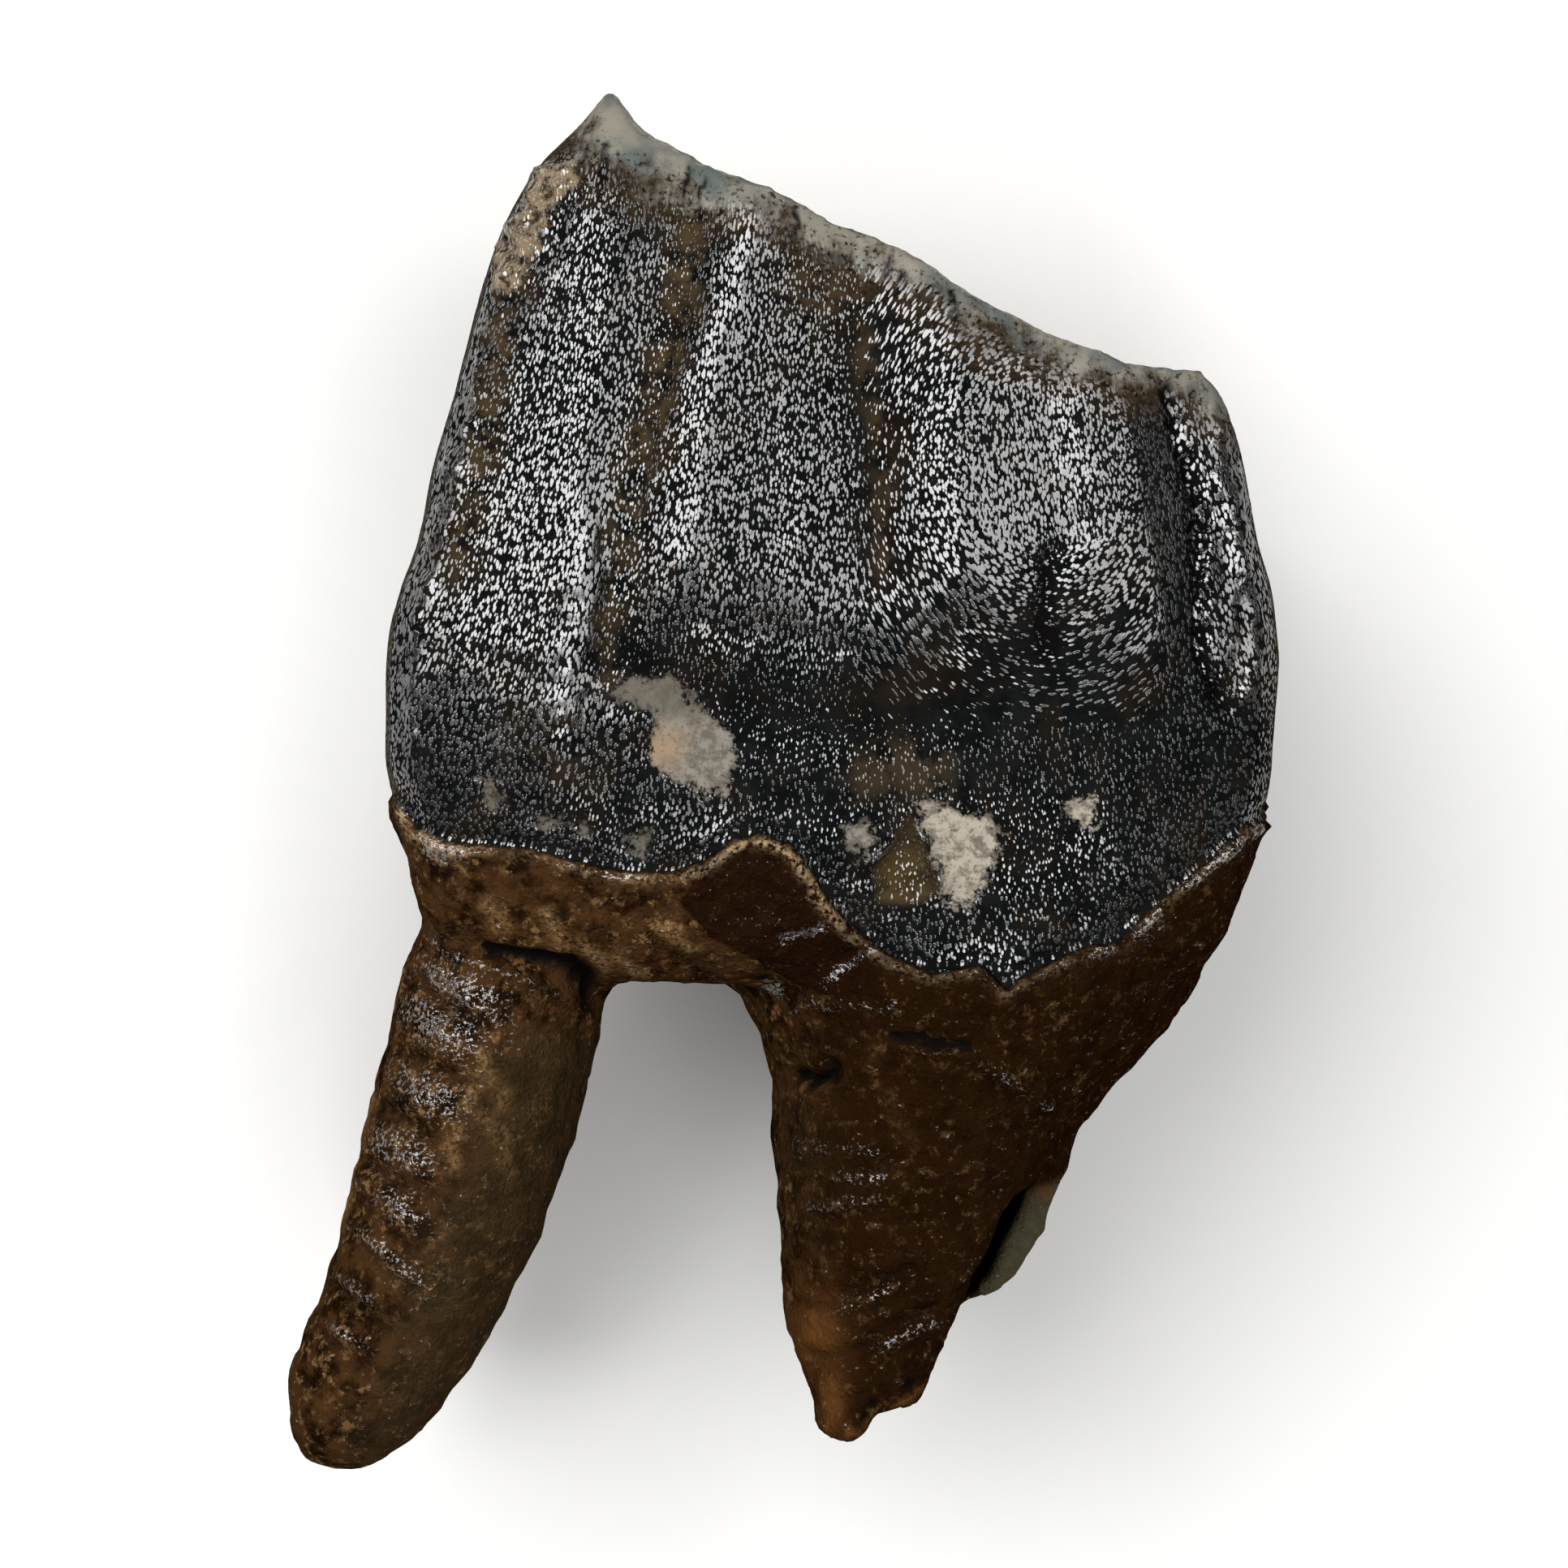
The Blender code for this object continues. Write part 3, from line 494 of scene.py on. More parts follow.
class Surface:
    """The mesh's points in millimetres, where the camera sees them, how far they move, and their fields."""

    def __init__(self, mesh):
        flat = np.zeros(len(mesh.vertices) * 3, np.float32)
        mesh.vertices.foreach_get("co", flat)
        self.points = flat.reshape(-1, 3).astype(float) / MM
        mesh.vertex_normals.foreach_get("vector", flat)
        self.normals = flat.reshape(-1, 3).astype(float)
        self.x, self.y, self.z = self.points.T
        self.up = self.normals[:, 2]
        nearer = CAMERA_DISTANCE / (CAMERA_DISTANCE + PICTURE_PLANE_Z - self.z)
        self.u = (self.x - CAMERA_X) * nearer
        self.v = (self.y - CAMERA_Y) * nearer
        self.cheek = rise(self.up, *CHEEK_NORMAL) * rise(self.z, *CHEEK_Z)
        self.outline = bell(self.up, OUTLINE_NORMAL)
        self.small = self.lumps(0.9, 2, 3.1)
        self.middle = self.lumps(2.4, 3, 7.7)
        self.large = self.lumps(7.0, 3, 1.3)
        self.wavy_u = self.u + LINE_WAVE * self.lumps(1.3, 3, 5.0)
        self.wavy_v = self.v + LINE_WAVE * self.lumps(1.3, 3, 9.0)
        self.soft_u = self.u + SOFT_WAVE * (self.wavy_u - self.u)
        self.soft_v = self.v + SOFT_WAVE * (self.wavy_v - self.v)
        self.on_root = rise(-self.y, *ROOT_BELOW)
        self.push = LARGE_LUMPS * self.large + MIDDLE_LUMPS * self.middle
        self.fields = {"level": self.v, "east": self.u}

    def lumps(self, size, octaves, seed):
        """Smooth noise from about -1 to 1, with features of the given size."""
        shift = Vector((seed, seed * 1.7, seed * 0.6))
        return np.array([noise.fractal(Vector(p) / size + shift, 1.0, 2.0, octaves) for p in self.points])

    def line(self, path, half_width):
        """1 along a line of the cheek side, fading beside it."""
        return self.cheek * bell(line_distance(path, self.wavy_u, self.wavy_v), half_width)

    def lines(self, table):
        return sum(weight * self.line(path, half_width) for path, half_width, weight in table)

    def spots(self, table):
        return self.cheek * sum(
            weight * bell(np.hypot(self.u - middle_u, self.v - middle_v), half_width)
            for middle_u, middle_v, half_width, weight in table
        )

    def nearest(self, paths):
        return np.min([line_distance(path, self.soft_u, self.soft_v) for path in paths], axis=0)

    def patch(self, outline, u, v, least_cheek=0.3):
        return np.where(self.cheek > least_cheek, patch_field(outline, u, v), OUTSIDE)


def end_enamel(s):
    """Enamel above, and below it cement with a raised lip."""
    line_u, line_v = np.array(ENAMEL_LINE).T
    above_line = s.v - np.interp(s.u, line_u, line_v)
    on_cheek = np.sign(above_line) * np.minimum(line_distance(ENAMEL_LINE, s.u, s.v), np.abs(above_line))
    level = s.y - ENAMEL_LEVEL - ENAMEL_LEVEL_WAVE * np.sin(s.x * 0.32 + s.z * 0.14) + 1.2 * s.large
    enamel = level + (on_cheek - level) * rise(s.z, *ENAMEL_LINE_Z)
    on_cement = rise(-enamel, -0.1, 0.25)
    s.push += LIP_STEP * on_cement * np.exp(np.minimum(enamel, 0) / LIP_FADE)
    lip_height = np.clip(0.9 + 1.6 * s.middle, 0, 2) * (1 - 0.75 * bell(s.u + 15.0, 4.5))
    s.push += LIP_RIDGE * bell(enamel + LIP_HALF_WIDTH, LIP_HALF_WIDTH) * lip_height
    s.push -= LIP_GUTTER * bell(enamel - 0.45, 0.4)
    s.push += on_cement * (0.14 * s.middle + 0.07 * s.small)

    # The lip is glossy at the far left, left of the tongue, and along two ridges at the right
    shine = 0.5 * bell(enamel + 0.2, 0.3) + 1.9 * bell(enamel + 0.5, 0.7) * rise(-s.u, 19.0, 20.5)
    shine += 1.7 * bell(enamel + 0.2, 0.25) * bell(s.u + 8.8, 2.6)
    shine += 1.5 * bell(enamel + 0.3, 0.3) * rise(s.u, 17.0, 19.0)
    shine += 0.9 * bell(enamel + 1.1, 0.25) * bell(s.u - 22.5, 2.6)
    shine *= s.cheek * np.clip(0.8 + 1.4 * s.middle, 0, 1)
    golden = bell(s.u + 0.5, 4.2) + 0.4 * bell(s.u + 9.0, 3.0) + 0.2 + rise(-s.u, 18.5, 20.5)
    gold = s.cheek * bell(enamel + 0.25, 0.35) * np.clip(golden, 0, 1) * np.clip(0.9 + 1.8 * s.small, 0, 1)
    s.fields.update(enamel=enamel, shine=shine, lip_gold=gold)


def wear_edge(s):
    """The worn edge with its band, and the dished worn surface behind it."""
    from_face, on_face, rim = worn_fields(s.points, s.normals)
    dish = np.where(on_face, rise(rim, RIM_WIDTH * 0.75, RIM_WIDTH * 1.6), 0.0)
    s.push -= DISH_DEPTH * dish + dish * (0.25 * s.middle + 0.1 * s.small)
    s.push -= 0.1 * bell(from_face, 0.8) * (1 + 2.0 * s.middle) * rise(s.y, 10.0, 16.0)
    from_edge = from_face + BAND_NARROWER * rise(s.u, -9.0, -3.0)
    calm = rise(from_edge + 0.9 * s.middle, *CALM_BAND)
    s.fields.update(worn=from_edge, worn_face=on_face.astype(float), rim=rim, calm=calm)


def place_patches(s):
    """The tongue of cement, the chips, the chevron, the small pit and the crust."""
    tongue = s.patch(TONGUE, s.u, s.v)
    s.push += s.cheek * (TONGUE_HEIGHT * rise(tongue, -0.3, 0.5) + TONGUE_RIM * bell(tongue - 0.2, 0.35))
    s.push += s.cheek * rise(tongue, 0.2, 1.0) * TONGUE_LUMPS * s.lumps(1.7, 2, 11.0)
    low_left = rise(0.3 - s.v, 0.0, 0.6) * rise(-s.u, 7.8, 8.4)
    cream = np.max([s.patch(patch, s.wavy_u, s.wavy_v) for patch in CREAM_PATCHES], axis=0) - 0.3 * low_left
    s.push -= s.cheek * CREAM_DEPTH * rise(cream, -0.25, 0.35)
    dull = s.cheek * (low_left + rise(s.v, 3.4, 4.6))
    orange = s.cheek * bell(np.hypot(s.wavy_u - ORANGE_SPOT[0], s.wavy_v - ORANGE_SPOT[1]), ORANGE_SPOT[2])
    olive = s.patch(CHEVRON_INSIDE, s.u, s.v)
    s.push += s.cheek * CHEVRON_HEIGHT * bell(line_distance(CHEVRON, s.u, s.v), 0.35)
    s.push -= s.cheek * CHEVRON_HEIGHT * rise(olive, 0.1, 0.9)
    pit = s.cheek * bell(np.hypot(s.wavy_u - SMALL_PIT[0], s.wavy_v - SMALL_PIT[1]), SMALL_PIT[2])
    s.push -= SMALL_PIT_DEPTH * pit
    crust = s.patch(CRUST, s.wavy_u, s.wavy_v, 0.2)
    s.push += rise(crust, -0.5, 0.4) * (CRUST_HEIGHT + CRUST_LUMPS * s.lumps(1.3, 2, 21.0))
    # The small pit starts the field of painted shade
    s.fields.update(tongue=tongue, cream=cream, dull=dull, orange=orange, olive=olive, crust=crust, dark=pit)


def fold_crown(s):
    """Folds and ribs, with their stains and the painted shade along fissures, folds, cracks and the smile arc.
    """
    s.push += s.lines(RELIEF_LINES)
    s.push += RIDGE_BY_GROOVE_HEIGHT * s.line(RIDGE_BY_GROOVE, 0.8) * rise(19.0 - s.v, 0.0, 5.0)
    s.push += s.lines(BUMPY_RIDGES) * np.clip(0.5 + s.lumps(1.5, 2, 15.0), 0, 2)
    stain = s.line(BROWN_GROOVE, 1.2) * (0.5 + 0.5 * rise(s.v, 12.0, 26.0))
    stain += s.lines(STAIN_LINES) + s.spots(STAIN_SPOTS)
    stain += 0.9 * s.outline * bell(line_distance(MESIAL_STRIP, s.u, s.v), 0.5)
    stain += 0.5 * s.cheek * rise(patch_field(OLIVE_HAZE, s.wavy_u, s.wavy_v), -1.2, 0.8)
    s.fields["stain"] = np.clip(stain, 0, 1)
    # Painted shade along the fissure, folds, cracks and the smile arc
    s.fields["dark"] += s.lines(PAINTED_SHADE_LINES)
    s.fields["flank"] = rise(-s.up, -0.5, -0.12) * rise(s.z + 3.0 * s.large + 2.0 * s.middle, 28.0, 36.0)


def spread_glints(s):
    """How much of the enamel's wrinkles are glossy: most above, little in the folds and below."""
    west = rise(-s.u, 8.0, 11.0)
    dense = rise(s.v + 0.8 * s.large, 4.5, 10.0) * (1 - west) + rise(s.v + 1.2 * s.large, -3.0, 5.0) * west
    glints = 0.4 + 0.4 * dense + 0.14 * s.large + 0.08 * west - 0.1 * west * rise(s.v, 14.0, 24.0)
    glints *= 1 - 0.75 * s.fields["stain"]
    for path, half_width, share in GLINT_GAPS:
        glints *= 1 - share * s.line(path, half_width)
    glints = glints * (0.62 + 0.38 * s.cheek) + s.lines(GLINT_LINES) + s.spots(GLINT_SPOTS)
    glints += s.cheek * (0.5 * oval(*RIB_TOP, s.u, s.v) + 0.3 * bell(s.fields["enamel"] - 1.0, 0.9))
    s.fields["glints"] = np.clip(glints, 0, MOST_GLINTS)


def shape_left_root(s):
    left = s.on_root * (s.x < LEFT_ROOT_EDGE_X)
    neck = s.cheek * bell(line_distance(NECK_CRACK, s.u, s.v), 0.45 + 0.3 * rise(s.u, -16.0, -12.0))
    from_lip = line_distance(NECK_LIP, s.u, s.v)
    s.push += NECK_LIP_HEIGHT * s.cheek * bell(from_lip, 0.45) - NECK_CRACK_DEPTH * neck
    ring = (s.x * LEFT_RING_NORMAL[0] + s.y * LEFT_RING_NORMAL[1]) / LEFT_RING_SPACING
    ring += 0.3 * s.large + 0.1 * s.middle
    wave = np.sin(math.pi * (ring - np.floor(ring))) ** 0.8 - 0.6
    from_axis = s.x - LEFT_ROOT_TOP[0] - LEFT_ROOT_SLOPE * (s.y - LEFT_ROOT_TOP[1])
    ringed = 0.2 + 0.8 * rise(-from_axis, -3.0, 1.5)
    s.push += left * ringed * LEFT_RING_HEIGHT * wave
    from_fold = s.nearest(LEFT_FOLDS)
    ovals = [oval(*each, SWELLING_LEAN, s.soft_u, s.soft_v) for each in LEFT_SWELLINGS]
    swelling = s.cheek * np.max(ovals, axis=0)
    s.push += SWELLING_HEIGHT * swelling - FOLD_DEPTH * s.cheek * bell(from_fold, 0.45)
    s.fields["shine"] += 0.04 + (1.1 + 0.4 * rise(s.v, -24.0, -18.0)) * swelling
    s.fields["shine"] += 0.8 * s.cheek * bell(from_lip, 0.16)
    # Painted shade in the neck crack and the folds
    s.fields["dark"] += neck + 0.5 * s.cheek * bell(from_fold, 0.4)
    # The left root's right side turns greyer and lighter: partly its own tone, partly painted light on a side
    # left in shade
    s.fields["grey_tone_and_painted_light"] = left * (1 - ringed)
    s.fields["tan"] = 0.9 * left * s.outline * bell(line_distance(LEFT_SLIVER, s.u, s.v), 0.45)


def shape_right_root(s):
    right = s.on_root * (s.x > RIGHT_ROOT_EDGE_X)
    from_crease = s.nearest(RIGHT_CREASES)
    from_gleam = s.nearest(RIGHT_GLEAMS)
    s.push += s.cheek * (RIGHT_GLEAM_HEIGHT * bell(from_gleam, 0.6) - FOLD_DEPTH * bell(from_crease, 0.42))
    s.push -= s.cheek * SHALLOW_DEPTH * bell(s.nearest(RIGHT_SHALLOW_CREASES), 0.5)
    ring = (s.x * RIGHT_RING_NORMAL[0] + s.y * RIGHT_RING_NORMAL[1]) / RIGHT_RING_SPACING
    ring += 0.3 * s.middle + 0.2 * s.large
    s.push += right * RIGHT_RING_HEIGHT * np.sin(ring * 2 * math.pi)
    tip_pits = s.spots([(*each, 1.0) for each in TIP_PITS])
    s.push -= TIP_PIT_DEPTH * tip_pits
    # Painted shade in the tip pits and the creases
    s.fields["dark"] += tip_pits + 0.5 * s.cheek * bell(from_crease, 0.4)
    s.fields["shine"] += 0.8 * s.cheek * bell(from_gleam, 0.35)
    # The grey-olive patch on the right root is the cement's own tone
    s.fields["grey_tone_and_painted_light"] += 0.45 * right * s.cheek * oval(*RIGHT_OLIVE, LEVEL_LEAN, s.u, s.v)
    # Painted light on the far wall, which lies in shade
    s.fields["far_wall_painted_light"] = right * rise(patch_field(FAR_WALL, s.u, s.v), -0.6, 0.2) * rise(s.z, *FAR_WALL_Z)
    amber = right * np.max([oval(*each, LEVEL_LEAN, s.u, s.v) for each in AMBER_SPOTS], axis=0)
    amber += s.lines([(path, 0.25, 1.0) for path in TIP_RIMS])
    s.fields["amber"] = amber
    # Painted shade: the cement gets darker towards the right, on the side turned from the light
    s.fields["right_painted_shade"] = rise(s.x + 0.6 * s.large, -3.0, 5.0) * (1 - 0.5 * amber)


def lay_growth_lines(s):
    from_u = s.u - BULGE_CENTRE[0]
    from_v = s.v - BULGE_CENTRE[1]
    bulging = rise(np.hypot(from_u, from_v), 3.0, 7.5)
    bulging *= rise(s.u, 3.0, 6.5) * rise(24.5 - s.u, 0, 3.0) * rise(s.v, 2.0, 6.0)
    s.fields["bulging"] = bulging
    s.fields["fan"] = s.u - (s.v - FAN_LEVEL) * (FAN_LEAN - FAN_SPREAD * s.u)
    s.fields["round"] = BULGE_CENTRE[0] - np.hypot(from_u, BULGE_SQUEEZE * from_v)
    s.fields["angle"] = ARC_RADIUS * np.arctan2(from_u, -from_v)


def dress(mesh):
    """Moves the surface into its fine shapes and stores what the material needs at each point."""
    s = Surface(mesh)
    end_enamel(s)
    wear_edge(s)
    place_patches(s)
    fold_crown(s)
    spread_glints(s)
    shape_left_root(s)
    shape_right_root(s)
    lay_growth_lines(s)
    s.fields["shine"] += s.lines(SHINE_LINES) + 2.0 * s.cheek * oval(*CRUST_GLEAM, s.wavy_u, s.wavy_v)
    s.fields["tan"] += s.lines(TAN_LINES)

    moved = s.points + s.normals * s.push[:, None]
    moved[:, 1] += TIP_LIFT * bell(np.hypot(s.x - TIP[0], s.y - TIP[1]), TIP_HALF_WIDTH) * rise(s.z, *TIP_Z)
    moved[:, 2] = np.where(s.z < LYING_Z, s.z, moved[:, 2])
    moved[:, 2] = np.maximum(moved[:, 2], 0.0)
    mesh.vertices.foreach_set("co", (moved * MM).astype(np.float32).ravel())
    for name, values in s.fields.items():
        stored = mesh.attributes.new(name, "FLOAT", "POINT")
        stored.data.foreach_set("value", values.astype(np.float32))
    mesh.polygons.foreach_set("use_smooth", [True] * len(mesh.polygons))
    mesh.update()


# The material


class Graph:
    """Makes the nodes of one material."""

    def __init__(self, tree):
        self.tree = tree

    def add(self, kind, inputs, **settings):
        made = self.tree.nodes.new(kind)
        for key, value in settings.items():
            setattr(made, key, value)
        for key, value in inputs.items():
            if isinstance(value, bpy.types.NodeSocket):
                self.tree.links.new(value, made.inputs[key])
            else:
                made.inputs[key].default_value = value
        return made

    def math(self, operation, first, second=0.0, clamp=False):
        settings = {"operation": operation, "use_clamp": clamp}
        return self.add("ShaderNodeMath", {0: first, 1: second}, **settings).outputs[0]

    def times(self, first, second):
        return self.math("MULTIPLY", first, second)

    def plus(self, first, second):
        return self.math("ADD", first, second)

    def minus(self, first, second):
        return self.math("SUBTRACT", first, second)

    def rise(self, value, low, high, to_low=0.0, to_high=1.0, shape="SMOOTHSTEP"):
        inputs = {"Value": value, "From Min": low, "From Max": high, "To Min": to_low, "To Max": to_high}
        return self.add("ShaderNodeMapRange", inputs, interpolation_type=shape).outputs["Result"]

    def mix(self, factor, first, second):
        """The colour first where factor is 0, second where it is 1."""
        return self.add("ShaderNodeMix", {0: factor, 6: first, 7: second}, data_type="RGBA").outputs[2]

    def blend(self, factor, first, second):
        """The number first where factor is 0, second where it is 1."""
        return self.add("ShaderNodeMix", {0: factor, 2: first, 3: second}, data_type="FLOAT").outputs[0]

    def noise(self, vector, scale, detail=2.0, roughness=0.5, fourth=None):
        inputs = {"Vector": vector, "Scale": scale, "Detail": detail, "Roughness": roughness}
        if fourth is None:
            return self.add("ShaderNodeTexNoise", inputs).outputs["Fac"]
        return self.add("ShaderNodeTexNoise", {**inputs, "W": fourth}, noise_dimensions="4D").outputs["Fac"]

    def cells(self, across, along, depth, scales):
        """Distance from the middle of long cells, with their long way along the growth lines."""
        place = self.add("ShaderNodeCombineXYZ", {0: across, 1: along, 2: depth}).outputs[0]
        place = self.add("ShaderNodeVectorMath", {0: place, 1: scales}, operation="MULTIPLY").outputs[0]
        return self.add("ShaderNodeTexVoronoi", {"Vector": place, "Scale": 1.0}).outputs["Distance"]

    def stored(self, name):
        return self.add("ShaderNodeAttribute", {}, attribute_name=name).outputs["Fac"]


class Patterns:
    """The noises and fields that several parts of the material share."""

    def __init__(self, g):
        place = g.add("ShaderNodeTexCoord", {}).outputs["Object"]
        place = g.add("ShaderNodeVectorMath", {0: place, 1: (1 / MM,) * 3}, operation="MULTIPLY").outputs[0]
        self.place = place
        self.fan = g.stored("fan")
        self.rim = g.stored("rim")
        # painted shade in cracks, folds and pits
        self.dark = g.stored("dark")
        self.flank = g.stored("flank")
        self.ragged = g.minus(g.noise(place, 1.6, 3.0, 0.6), 0.5)
        self.broad = g.noise(place, 0.22, 3.0)
        self.mottle = g.noise(place, 0.55, 4.0, 0.65)
        self.fine = g.noise(place, 3.2, 2.0, 0.6)
        self.speckled = g.noise(place, 1.3, 4.0, 0.7)
        self.worms = g.noise(place, 3.9, 1.0)
        self.streak = g.noise(place, 0.35, 2.0, 0.5, g.times(self.fan, 2.0))
        self.on_enamel = g.rise(g.plus(g.stored("enamel"), g.times(self.ragged, 0.5)), -0.08, 0.12)
        self.on_face = g.rise(g.stored("worn_face"), 0.4, 0.6)
        self.chip = g.plus(g.stored("cream"), g.plus(g.times(self.ragged, 1.8), g.minus(self.fine, 0.5)))


def enamel_colour(g, p):
    enamel = g.mix(g.rise(p.mottle, 0.35, 0.7), BLACK_ENAMEL, GREY_ENAMEL)
    brown = g.rise(g.plus(g.times(p.broad, 0.6), g.times(p.streak, 0.4)), 0.48, 0.64)
    enamel = g.mix(g.times(brown, 0.4), enamel, BROWN_ENAMEL)
    enamel = g.mix(g.times(g.stored("stain"), g.rise(p.mottle, 0.38, 0.6)), enamel, STAIN)
    enamel = g.mix(g.times(p.flank, g.rise(p.mottle, 0.3, 0.6, 0.15, 0.7)), enamel, FLANK)

    # Along the worn edge it is pale, then speckled, then mottled brown
    streak_fine = g.noise(p.place, 0.5, 2.0, 0.5, g.times(p.fan, 6.0))
    border = g.plus(g.times(p.ragged, 2.4), g.times(g.minus(streak_fine, 0.5), 1.6))
    border = g.plus(border, g.times(g.minus(p.broad, 0.5), 5.0))
    worn = g.plus(g.stored("worn"), border)
    brown = g.times(g.rise(worn, 6.0, 3.4), g.rise(p.fine, 0.35, 0.55, 0.3, 0.95))
    enamel = g.mix(brown, enamel, WORN_BROWN)
    pale = g.mix(g.rise(g.noise(p.place, 0.35, 3.0), 0.4, 0.66), WORN_PALE, WORN_BLUE)
    pale = g.mix(g.rise(p.mottle, 0.5, 0.72, 0.0, 0.6), pale, WORN_BROWN)
    is_pale = g.rise(g.plus(worn, g.times(g.minus(p.mottle, 0.5), 3.0)), 3.8, 1.8)
    enamel = g.mix(is_pale, enamel, pale)
    speck_zone = g.times(g.rise(worn, 1.2, 3.0), g.rise(worn, 6.5, 3.6))
    enamel = g.mix(g.times(g.rise(p.fine, 0.56, 0.64, 0.0, 0.85), speck_zone), enamel, PAINTED_SHADE_AND_SPECK_BLACK)

    on_crust = g.rise(g.plus(g.stored("crust"), g.times(p.ragged, 1.4)), -0.2, 0.3)
    enamel = g.mix(on_crust, enamel, g.mix(g.rise(p.speckled, 0.48, 0.62), CRUST_YELLOW, WORN_BROWN))
    # Painted shade in cracks, folds and pits
    enamel = g.mix(g.rise(p.dark, 0.1, 1.0), enamel, PAINTED_SHADE_AND_SPECK_BLACK)
    enamel = g.mix(g.rise(p.chip, -0.25, 0.4), enamel, chip_colour(g, p))
    in_chevron = g.times(g.rise(g.stored("olive"), -0.2, 0.5), g.rise(p.mottle, 0.3, 0.6, 0.25, 0.95))
    return g.mix(in_chevron, enamel, CHEVRON_BROWN)


def chip_colour(g, p):
    cream = g.mix(g.rise(g.stored("east"), 4.0, 8.0), CREAM, CREAM_LIGHT)
    cream = g.mix(g.times(g.rise(p.speckled, 0.42, 0.62), 0.8), cream, CREAM_GREY)
    cream = g.mix(g.times(g.stored("dull"), 0.75), cream, CREAM_GREY)
    cream = g.mix(g.stored("orange"), cream, ORANGE)
    return g.mix(g.rise(p.fine, 0.56, 0.7, 0.0, 0.7), cream, CREAM_GREY)


def cement_colour(g, p):
    cement = g.mix(g.rise(p.mottle, 0.36, 0.6), CEMENT_DARK, CEMENT_BROWN)
    patchy = g.rise(p.broad, 0.36, 0.6, 0.25, 0.8)
    # Painted light: the shaded far wall gets a lighter greenish grey
    far_wall_painted_light = g.times(g.stored("far_wall_painted_light"), g.rise(p.speckled, 0.35, 0.65, 0.95, 0.6))
    layers = [
        (g.times(g.rise(p.speckled, 0.53, 0.66), patchy), CEMENT_TAN),
        (g.times(g.stored("tan"), g.rise(p.fine, 0.3, 0.62)), CEMENT_TAN),
        # greyer tone, and on the left root partly painted light
        (g.times(g.stored("grey_tone_and_painted_light"), 0.8), CEMENT_GREY_AND_PAINTED_LIGHT),
        # painted shade over the right half of the cement
        (g.times(g.stored("right_painted_shade"), g.rise(p.speckled, 0.5, 0.7, 0.88, 0.66)), CEMENT_PAINTED_SHADE),
        # painted light on the shaded far wall
        (far_wall_painted_light, FAR_WALL_GREY_AND_PAINTED_LIGHT),
        (g.times(g.stored("amber"), 0.85), AMBER),
        (g.times(g.rise(g.stored("tongue"), -0.1, 0.15), 0.92), TONGUE_RED),
        (g.times(g.stored("lip_gold"), g.rise(p.fine, 0.38, 0.58)), LIP_GOLD),
        # painted shade in cracks, folds and pits
        (g.rise(p.dark, 0.15, 1.0), PAINTED_SHADE_AND_SPECK_BLACK),
    ]
    for share, colour in layers:
        cement = g.mix(share, cement, colour)
    return cement


def worn_face_colour(g, p):
    """Enamel stands round the border and round the pits, with dentine between."""
    growth = g.noise(p.place, 0.3, 2.0, 0.6, g.times(p.rim, 1.3))
    brown = g.rise(g.plus(g.times(growth, 0.7), g.times(p.fine, 0.3)), 0.36, 0.64)
    dentine = g.mix(brown, DENTINE_DARK, DENTINE_BROWN)
    dentine = g.mix(g.rise(p.broad, 0.4, 0.7, 0.0, 0.6), dentine, WORN_BROWN)
    split = g.math("ABSOLUTE", g.minus(g.noise(p.place, 0.16, 2.0, 0.6), 0.5))
    dentine = g.mix(g.rise(split, 0.009, 0.002, 0.0, 0.9), dentine, PAINTED_SHADE_AND_SPECK_BLACK)
    rim_pale = g.mix(g.rise(p.streak, 0.45, 0.6), WORN_PALE, WORN_BLUE)
    return g.mix(g.rise(g.plus(p.rim, g.times(p.ragged, 0.7)), 1.25, 1.6), rim_pale, dentine)


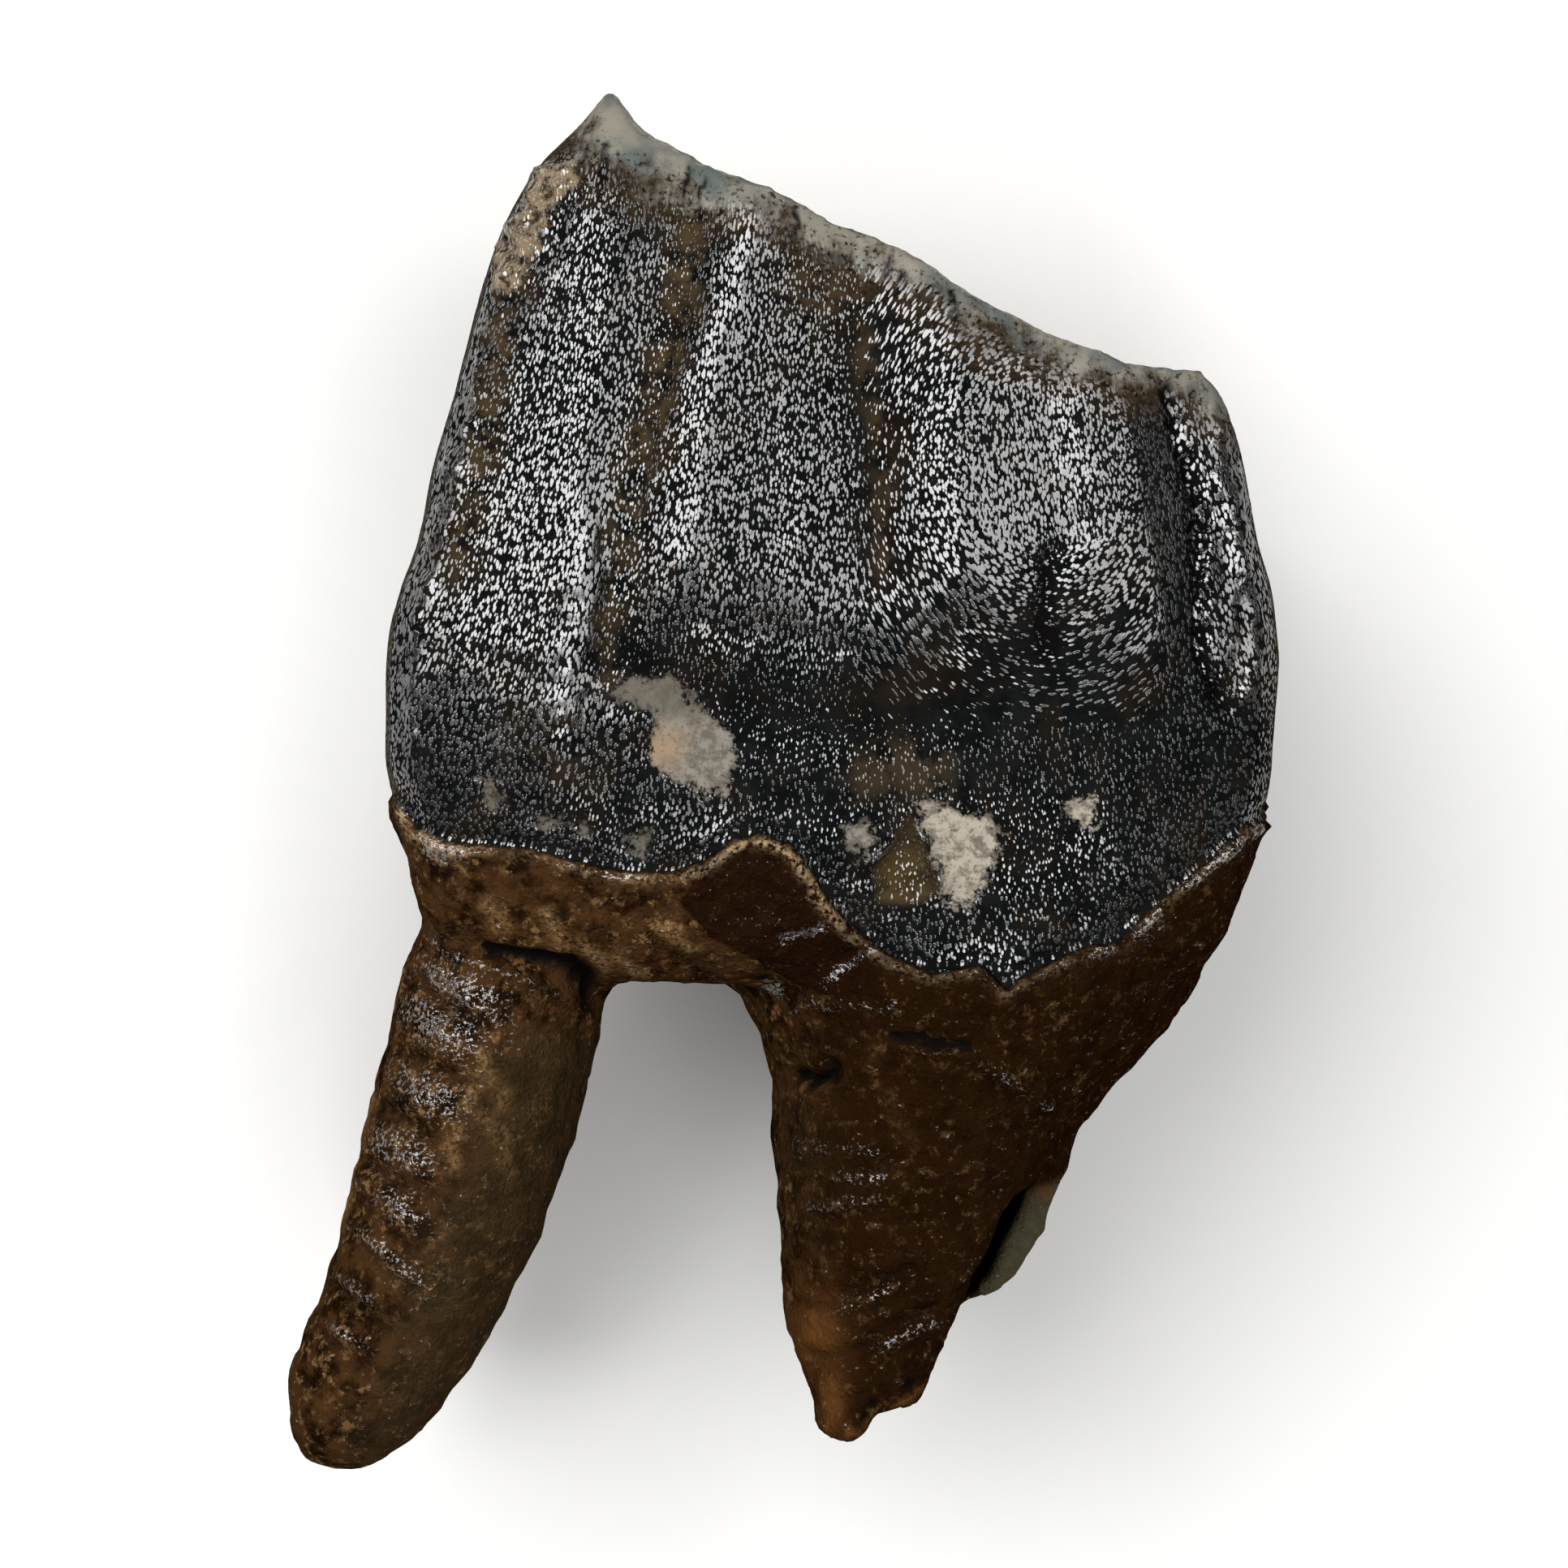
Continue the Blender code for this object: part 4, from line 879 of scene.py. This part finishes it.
def relief_and_gloss(g, p):
    """Wrinkles with glossy crests on the enamel, and fine worm-like wrinkles on the cement's swellings."""
    depth = g.add("ShaderNodeSeparateXYZ", {0: p.place}).outputs[2]
    upright = g.cells(p.fan, g.stored("level"), depth, UPRIGHT_CELLS)
    rounded = g.cells(g.stored("round"), g.stored("angle"), depth, ROUNDED_CELLS)
    wrinkle = g.blend(g.stored("bulging"), upright, rounded)
    wrinkle = g.plus(wrinkle, g.times(g.minus(p.fine, 0.5), 0.5))
    limit = g.rise(g.stored("glints"), 0.0, 1.4, 0.26, 0.66, "LINEAR")
    crest = g.rise(wrinkle, g.plus(limit, 0.05), g.plus(limit, -0.08))
    swell = g.rise(wrinkle, g.plus(limit, 0.2), g.plus(limit, -0.12))
    wrinkled = g.times(g.stored("calm"), g.rise(p.chip, 0.2, -0.5))

    enamel_relief = g.times(g.times(swell, WRINKLE_HEIGHT), g.plus(g.times(wrinkled, 0.92), 0.08))
    rugged = g.noise(p.place, 1.1, 3.0, 0.68)
    cement_relief = g.plus(g.times(rugged, RUGGED_HEIGHT), g.times(p.worms, WORM_HEIGHT))
    relief = g.blend(p.on_enamel, cement_relief, enamel_relief)
    relief = g.blend(p.on_face, relief, g.times(rugged, FACE_HEIGHT))

    shine = g.stored("shine")
    sparkle = g.times(g.rise(p.worms, 0.64, 0.7), g.rise(p.speckled, 0.5, 0.6))
    worm_limit = g.rise(shine, 0.0, 2.0, 0.62, 0.34, "LINEAR")
    worm_crest = g.rise(g.minus(p.worms, worm_limit), 0.0, 0.09)
    cement_gloss = g.times(worm_crest, g.rise(shine, 0.05, 0.9, shape="LINEAR"))
    # No sparkles inside the painted shade
    cement_gloss = g.times(g.plus(cement_gloss, g.times(sparkle, 0.55)), g.rise(p.dark, 0.6, 0.2))
    crest_gloss = g.times(crest, g.plus(g.times(wrinkled, 0.97), 0.03))
    gloss = g.blend(p.on_enamel, cement_gloss, g.plus(crest_gloss, g.rise(shine, 1.0, 1.7)))
    gloss = g.blend(p.on_face, gloss, g.rise(p.fine, 0.4, 0.65, 0.0, 0.25))
    return relief, g.math("MULTIPLY", gloss, g.rise(p.flank, 0.0, 0.9, 1.0, 0.25), True)


def fossil_material():
    material = bpy.data.materials.new("fossil_tooth")
    material.use_nodes = True
    material.node_tree.nodes.clear()
    g = Graph(material.node_tree)
    p = Patterns(g)
    colour = g.mix(p.on_enamel, cement_colour(g, p), enamel_colour(g, p))
    colour = g.mix(p.on_face, colour, worn_face_colour(g, p))
    relief, gloss = relief_and_gloss(g, p)
    bump = g.add("ShaderNodeBump", {"Strength": 1.0, "Distance": MM, "Height": relief}).outputs[0]
    surface = g.add(
        "ShaderNodeBsdfPrincipled",
        {
            "Base Color": colour,
            "Roughness": g.rise(p.mottle, 0.3, 0.7, 0.45, 0.7),
            "Normal": bump,
            "Specular IOR Level": 0.0,
            "Coat Weight": gloss,
            "Coat Roughness": COAT_ROUGHNESS,
            "Coat IOR": COAT_IOR,
            "Coat Normal": bump,
        },
    )
    g.add("ShaderNodeOutputMaterial", {"Surface": surface.outputs[0]})
    return material


def make_tooth():
    mesh = fine_surface(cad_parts["tooth"])
    dress(mesh)
    mesh.materials.clear()
    mesh.materials.append(fossil_material())
    piece = link(bpy.data.objects.new("dressed_tooth", mesh))
    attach(piece, "root")
    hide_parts("tooth")


# Camera, floor and light


def make_camera():
    data = bpy.data.cameras.new("camera")
    data.sensor_width = SENSOR_WIDTH
    data.lens = SENSOR_WIDTH * CAMERA_DISTANCE / PICTURE_WIDTH
    data.clip_start = CAMERA_CLIP
    camera = link(bpy.data.objects.new("camera", data))
    camera.location = (CAMERA_X * MM, CAMERA_Y * MM, (CAMERA_DISTANCE + PICTURE_PLANE_Z) * MM)
    bpy.context.scene.camera = camera


def make_floor():
    bpy.ops.mesh.primitive_plane_add(size=FLOOR_SIZE)
    floor = bpy.context.object
    floor.name = "floor"
    material = bpy.data.materials.new("floor")
    material.use_nodes = True
    shader = material.node_tree.nodes["Principled BSDF"]
    shader.inputs["Base Color"].default_value = FLOOR
    shader.inputs["Roughness"].default_value = FLOOR_ROUGHNESS
    floor.data.materials.append(material)


def make_light(name, place, size, power):
    data = bpy.data.lights.new(name, "AREA")
    data.shape = "DISK"
    data.size = size
    data.energy = power
    light = link(bpy.data.objects.new(name, data))
    light.location = place
    light.rotation_euler = (Vector(LIGHT_AIM) - Vector(place)).to_track_quat("-Z", "Y").to_euler()


def make_world():
    world = bpy.data.worlds.new("world")
    world.use_nodes = True
    background = world.node_tree.nodes["Background"]
    background.inputs["Color"].default_value = (1, 1, 1, 1)
    background.inputs["Strength"].default_value = WORLD_STRENGTH
    bpy.context.scene.world = world


make_camera()
make_floor()
for light_values in LIGHTS:
    make_light(*light_values)
make_world()
make_tooth()
bpy.context.scene.view_settings.view_transform = "Standard"
